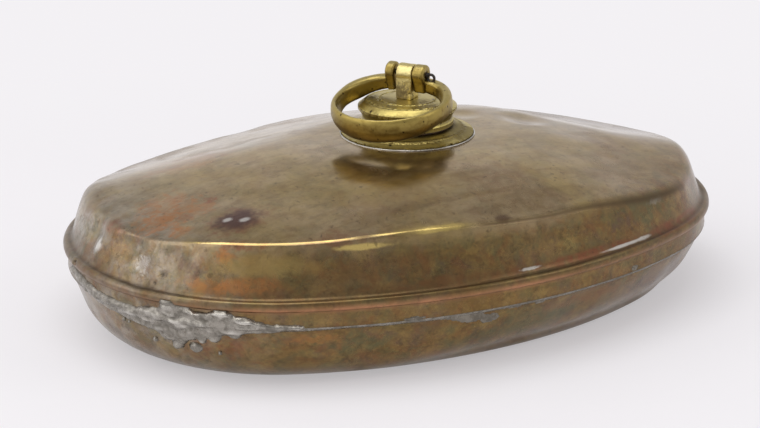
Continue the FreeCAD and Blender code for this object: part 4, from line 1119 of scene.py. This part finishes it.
# plain finishes: blackened iron for the pin, dark greased leather for the washer
ironLook = {
    "under": tone(0.03, 0.027, 0.025), "over": tone(0.10, 0.05, 0.028), "clouds": (700.0, 0.5, 0.7),
    "rough": 0.42, "cloudRough": 0.3, "metallic": 0.6, "bump": (0.6, 0.2),
    "skin": ("TexNoise", {}, {"Scale": 1600.0, "Detail": 4.0}),
}
leatherLook = {
    "under": tone(0.055, 0.030, 0.016), "over": tone(0.13, 0.075, 0.038), "clouds": (300.0, 0.4, 0.7),
    "rough": 0.55, "cloudRough": 0.2, "metallic": 0.0, "bump": (0.5, 0.3),
    "skin": ("TexVoronoi", {"feature": "DISTANCE_TO_EDGE"}, {"Scale": 1400.0}),
}


def makePlainFinish(name, look):
    finish, tree, shader, place = newFinish(name)
    cloudy = clouds(tree, place, *look["clouds"])
    colour = mixTone(tree, cloudy, look["under"], look["over"])
    rough = timesAdd(tree, cloudy, look["cloudRough"], look["rough"])
    layOn(tree, shader, colour, rough, look["metallic"])
    kind, settings, sockets = look["skin"]
    skin = put(tree, kind, settings, {"Vector": place, **sockets})
    addBump(tree, shader, skin.outputs[0], *look["bump"])
    return finish


ringPin.data.materials.append(makePlainFinish("blackIron", ironLook))
capWasher.data.materials.append(makePlainFinish("greasedLeather", leatherLook))
print("finishes laid on")

# plain pale floor, which fades into a pale backdrop away from the object
stageLook = {
    "size": 6.0, "floor": tone(0.90, 0.88, 0.89), "folds": tone(0.86, 0.84, 0.855),
    "foldClouds": (6.0, 0.3, 0.7), "foldShare": 0.5, "rough": 0.8, "metallic": 0.0, "shine": 0.2,
    "backdrop": tone(0.90, 0.88, 0.905), "fade": (0.13, 0.42), "fadeShare": (0.45, 1.0),
}
letGo()
bpy.ops.mesh.primitive_plane_add(size=stageLook["size"])
floor = bpy.context.object
floor.name = "floor"
finish, tree, shader, place = newFinish("paleFloor")
folds = times(tree, clouds(tree, place, *stageLook["foldClouds"]), stageLook["foldShare"])
colour = mixTone(tree, folds, stageLook["floor"], stageLook["folds"])
layOn(tree, shader, colour, stageLook["rough"], stageLook["metallic"])
shader.inputs["Specular IOR Level"].default_value = stageLook["shine"]
away = vectors(tree, "LENGTH", place).outputs["Value"]
rays = put(tree, "LightPath")
seen = sums(tree, "MAXIMUM", rays.outputs["Is Camera Ray"], rays.outputs["Is Glossy Ray"])
share = times(tree, seen, spread(tree, away, *stageLook["fade"], *stageLook["fadeShare"]))
glow = put(tree, "Emission", None, {"Color": stageLook["backdrop"], "Strength": 1.0})
blended = put(tree, "MixShader", None, {0: share, 1: shader.outputs[0], 2: glow.outputs[0]})
tree.links.new(blended.outputs[0], tree.nodes["Material Output"].inputs["Surface"])
floor.data.materials.append(finish)

# soft studio light: pale backdrop behind, dimmer overhead and behind the camera
studio = {
    "tone": tone(0.96, 0.95, 0.98), "height": (0.25, 0.85), "heightLevel": (1.0, 0.56),
    "back": (0.5, 0.866, 0.0), "backFrom": (-0.9, 0.5), "backLevel": (0.55, 0.85),
    "left": (-0.9, 0.1, 0.42), "leftFrom": (0.3, 1.0), "leftLevel": (0.0, 0.5),
}
world = bpy.data.worlds.new("studio")
bpy.context.scene.world = world
world.use_nodes = True
tree = world.node_tree
background = tree.nodes["Background"]
direction = put(tree, "TexCoord").outputs["Generated"]
overhead = spread(tree, axis(tree, direction, "Z"), *studio["height"], *studio["heightLevel"])
behind = vectors(tree, "DOT_PRODUCT", direction, studio["back"]).outputs["Value"]
behind = spread(tree, behind, *studio["backFrom"], *studio["backLevel"])
leftward = vectors(tree, "DOT_PRODUCT", direction, studio["left"]).outputs["Value"]
leftward = spread(tree, leftward, *studio["leftFrom"], *studio["leftLevel"])
tree.links.new(sums(tree, "ADD", times(tree, overhead, behind), leftward), background.inputs["Strength"])
background.inputs["Color"].default_value = studio["tone"]

# lamps: name, place, size, power
lampAim = (0, 0, 0.04)
lamps = [
    ("overhead", (-0.25, -0.15, 1.25), (1.2, 0.9), 6.5),
    ("window", (-1.6, 0.25, 1.0), (1.6, 1.4), 4.5),
    ("fill", (0.9, -0.9, 0.9), (0.6, 0.6), 2.0),
]
for name, location, size, power in lamps:
    letGo()
    bpy.ops.object.light_add(type="AREA", location=location)
    lamp = bpy.context.object
    lamp.name = name
    lamp.data.shape = "RECTANGLE"
    lamp.data.size, lamp.data.size_y = size
    lamp.data.energy = power
    lamp.rotation_euler = (Vector(lampAim) - Vector(location)).to_track_quat("-Z", "Y").to_euler()

# camera at the photograph's angle, for a frame of 760 by 428; focal length and shift are in its pixels
shot = {
    "azimuth": -30.09, "elevation": 18.23, "distance": 1.0999, "target": (0, 0, 0.038),
    "focal": 2479.2, "width": 760, "shift": (14.0, -0.5), "sensor": 36,
}
azimuth = math.radians(shot["azimuth"])
elevation = math.radians(shot["elevation"])
level = math.cos(elevation)
back = Vector((math.sin(azimuth) * level, -math.cos(azimuth) * level, math.sin(elevation)))
bpy.ops.object.camera_add(location=Vector(shot["target"]) + back * shot["distance"])
camera = bpy.context.object
camera.rotation_euler = (-back).to_track_quat("-Z", "Y").to_euler()
camera.data.sensor_width = shot["sensor"]
camera.data.lens = shot["sensor"] * shot["focal"] / shot["width"]
camera.data.shift_x = -shot["shift"][0] / shot["width"]
camera.data.shift_y = shot["shift"][1] / shot["width"]
bpy.context.scene.camera = camera
bpy.context.scene.view_settings.view_transform = "Standard"
print("lit and framed")
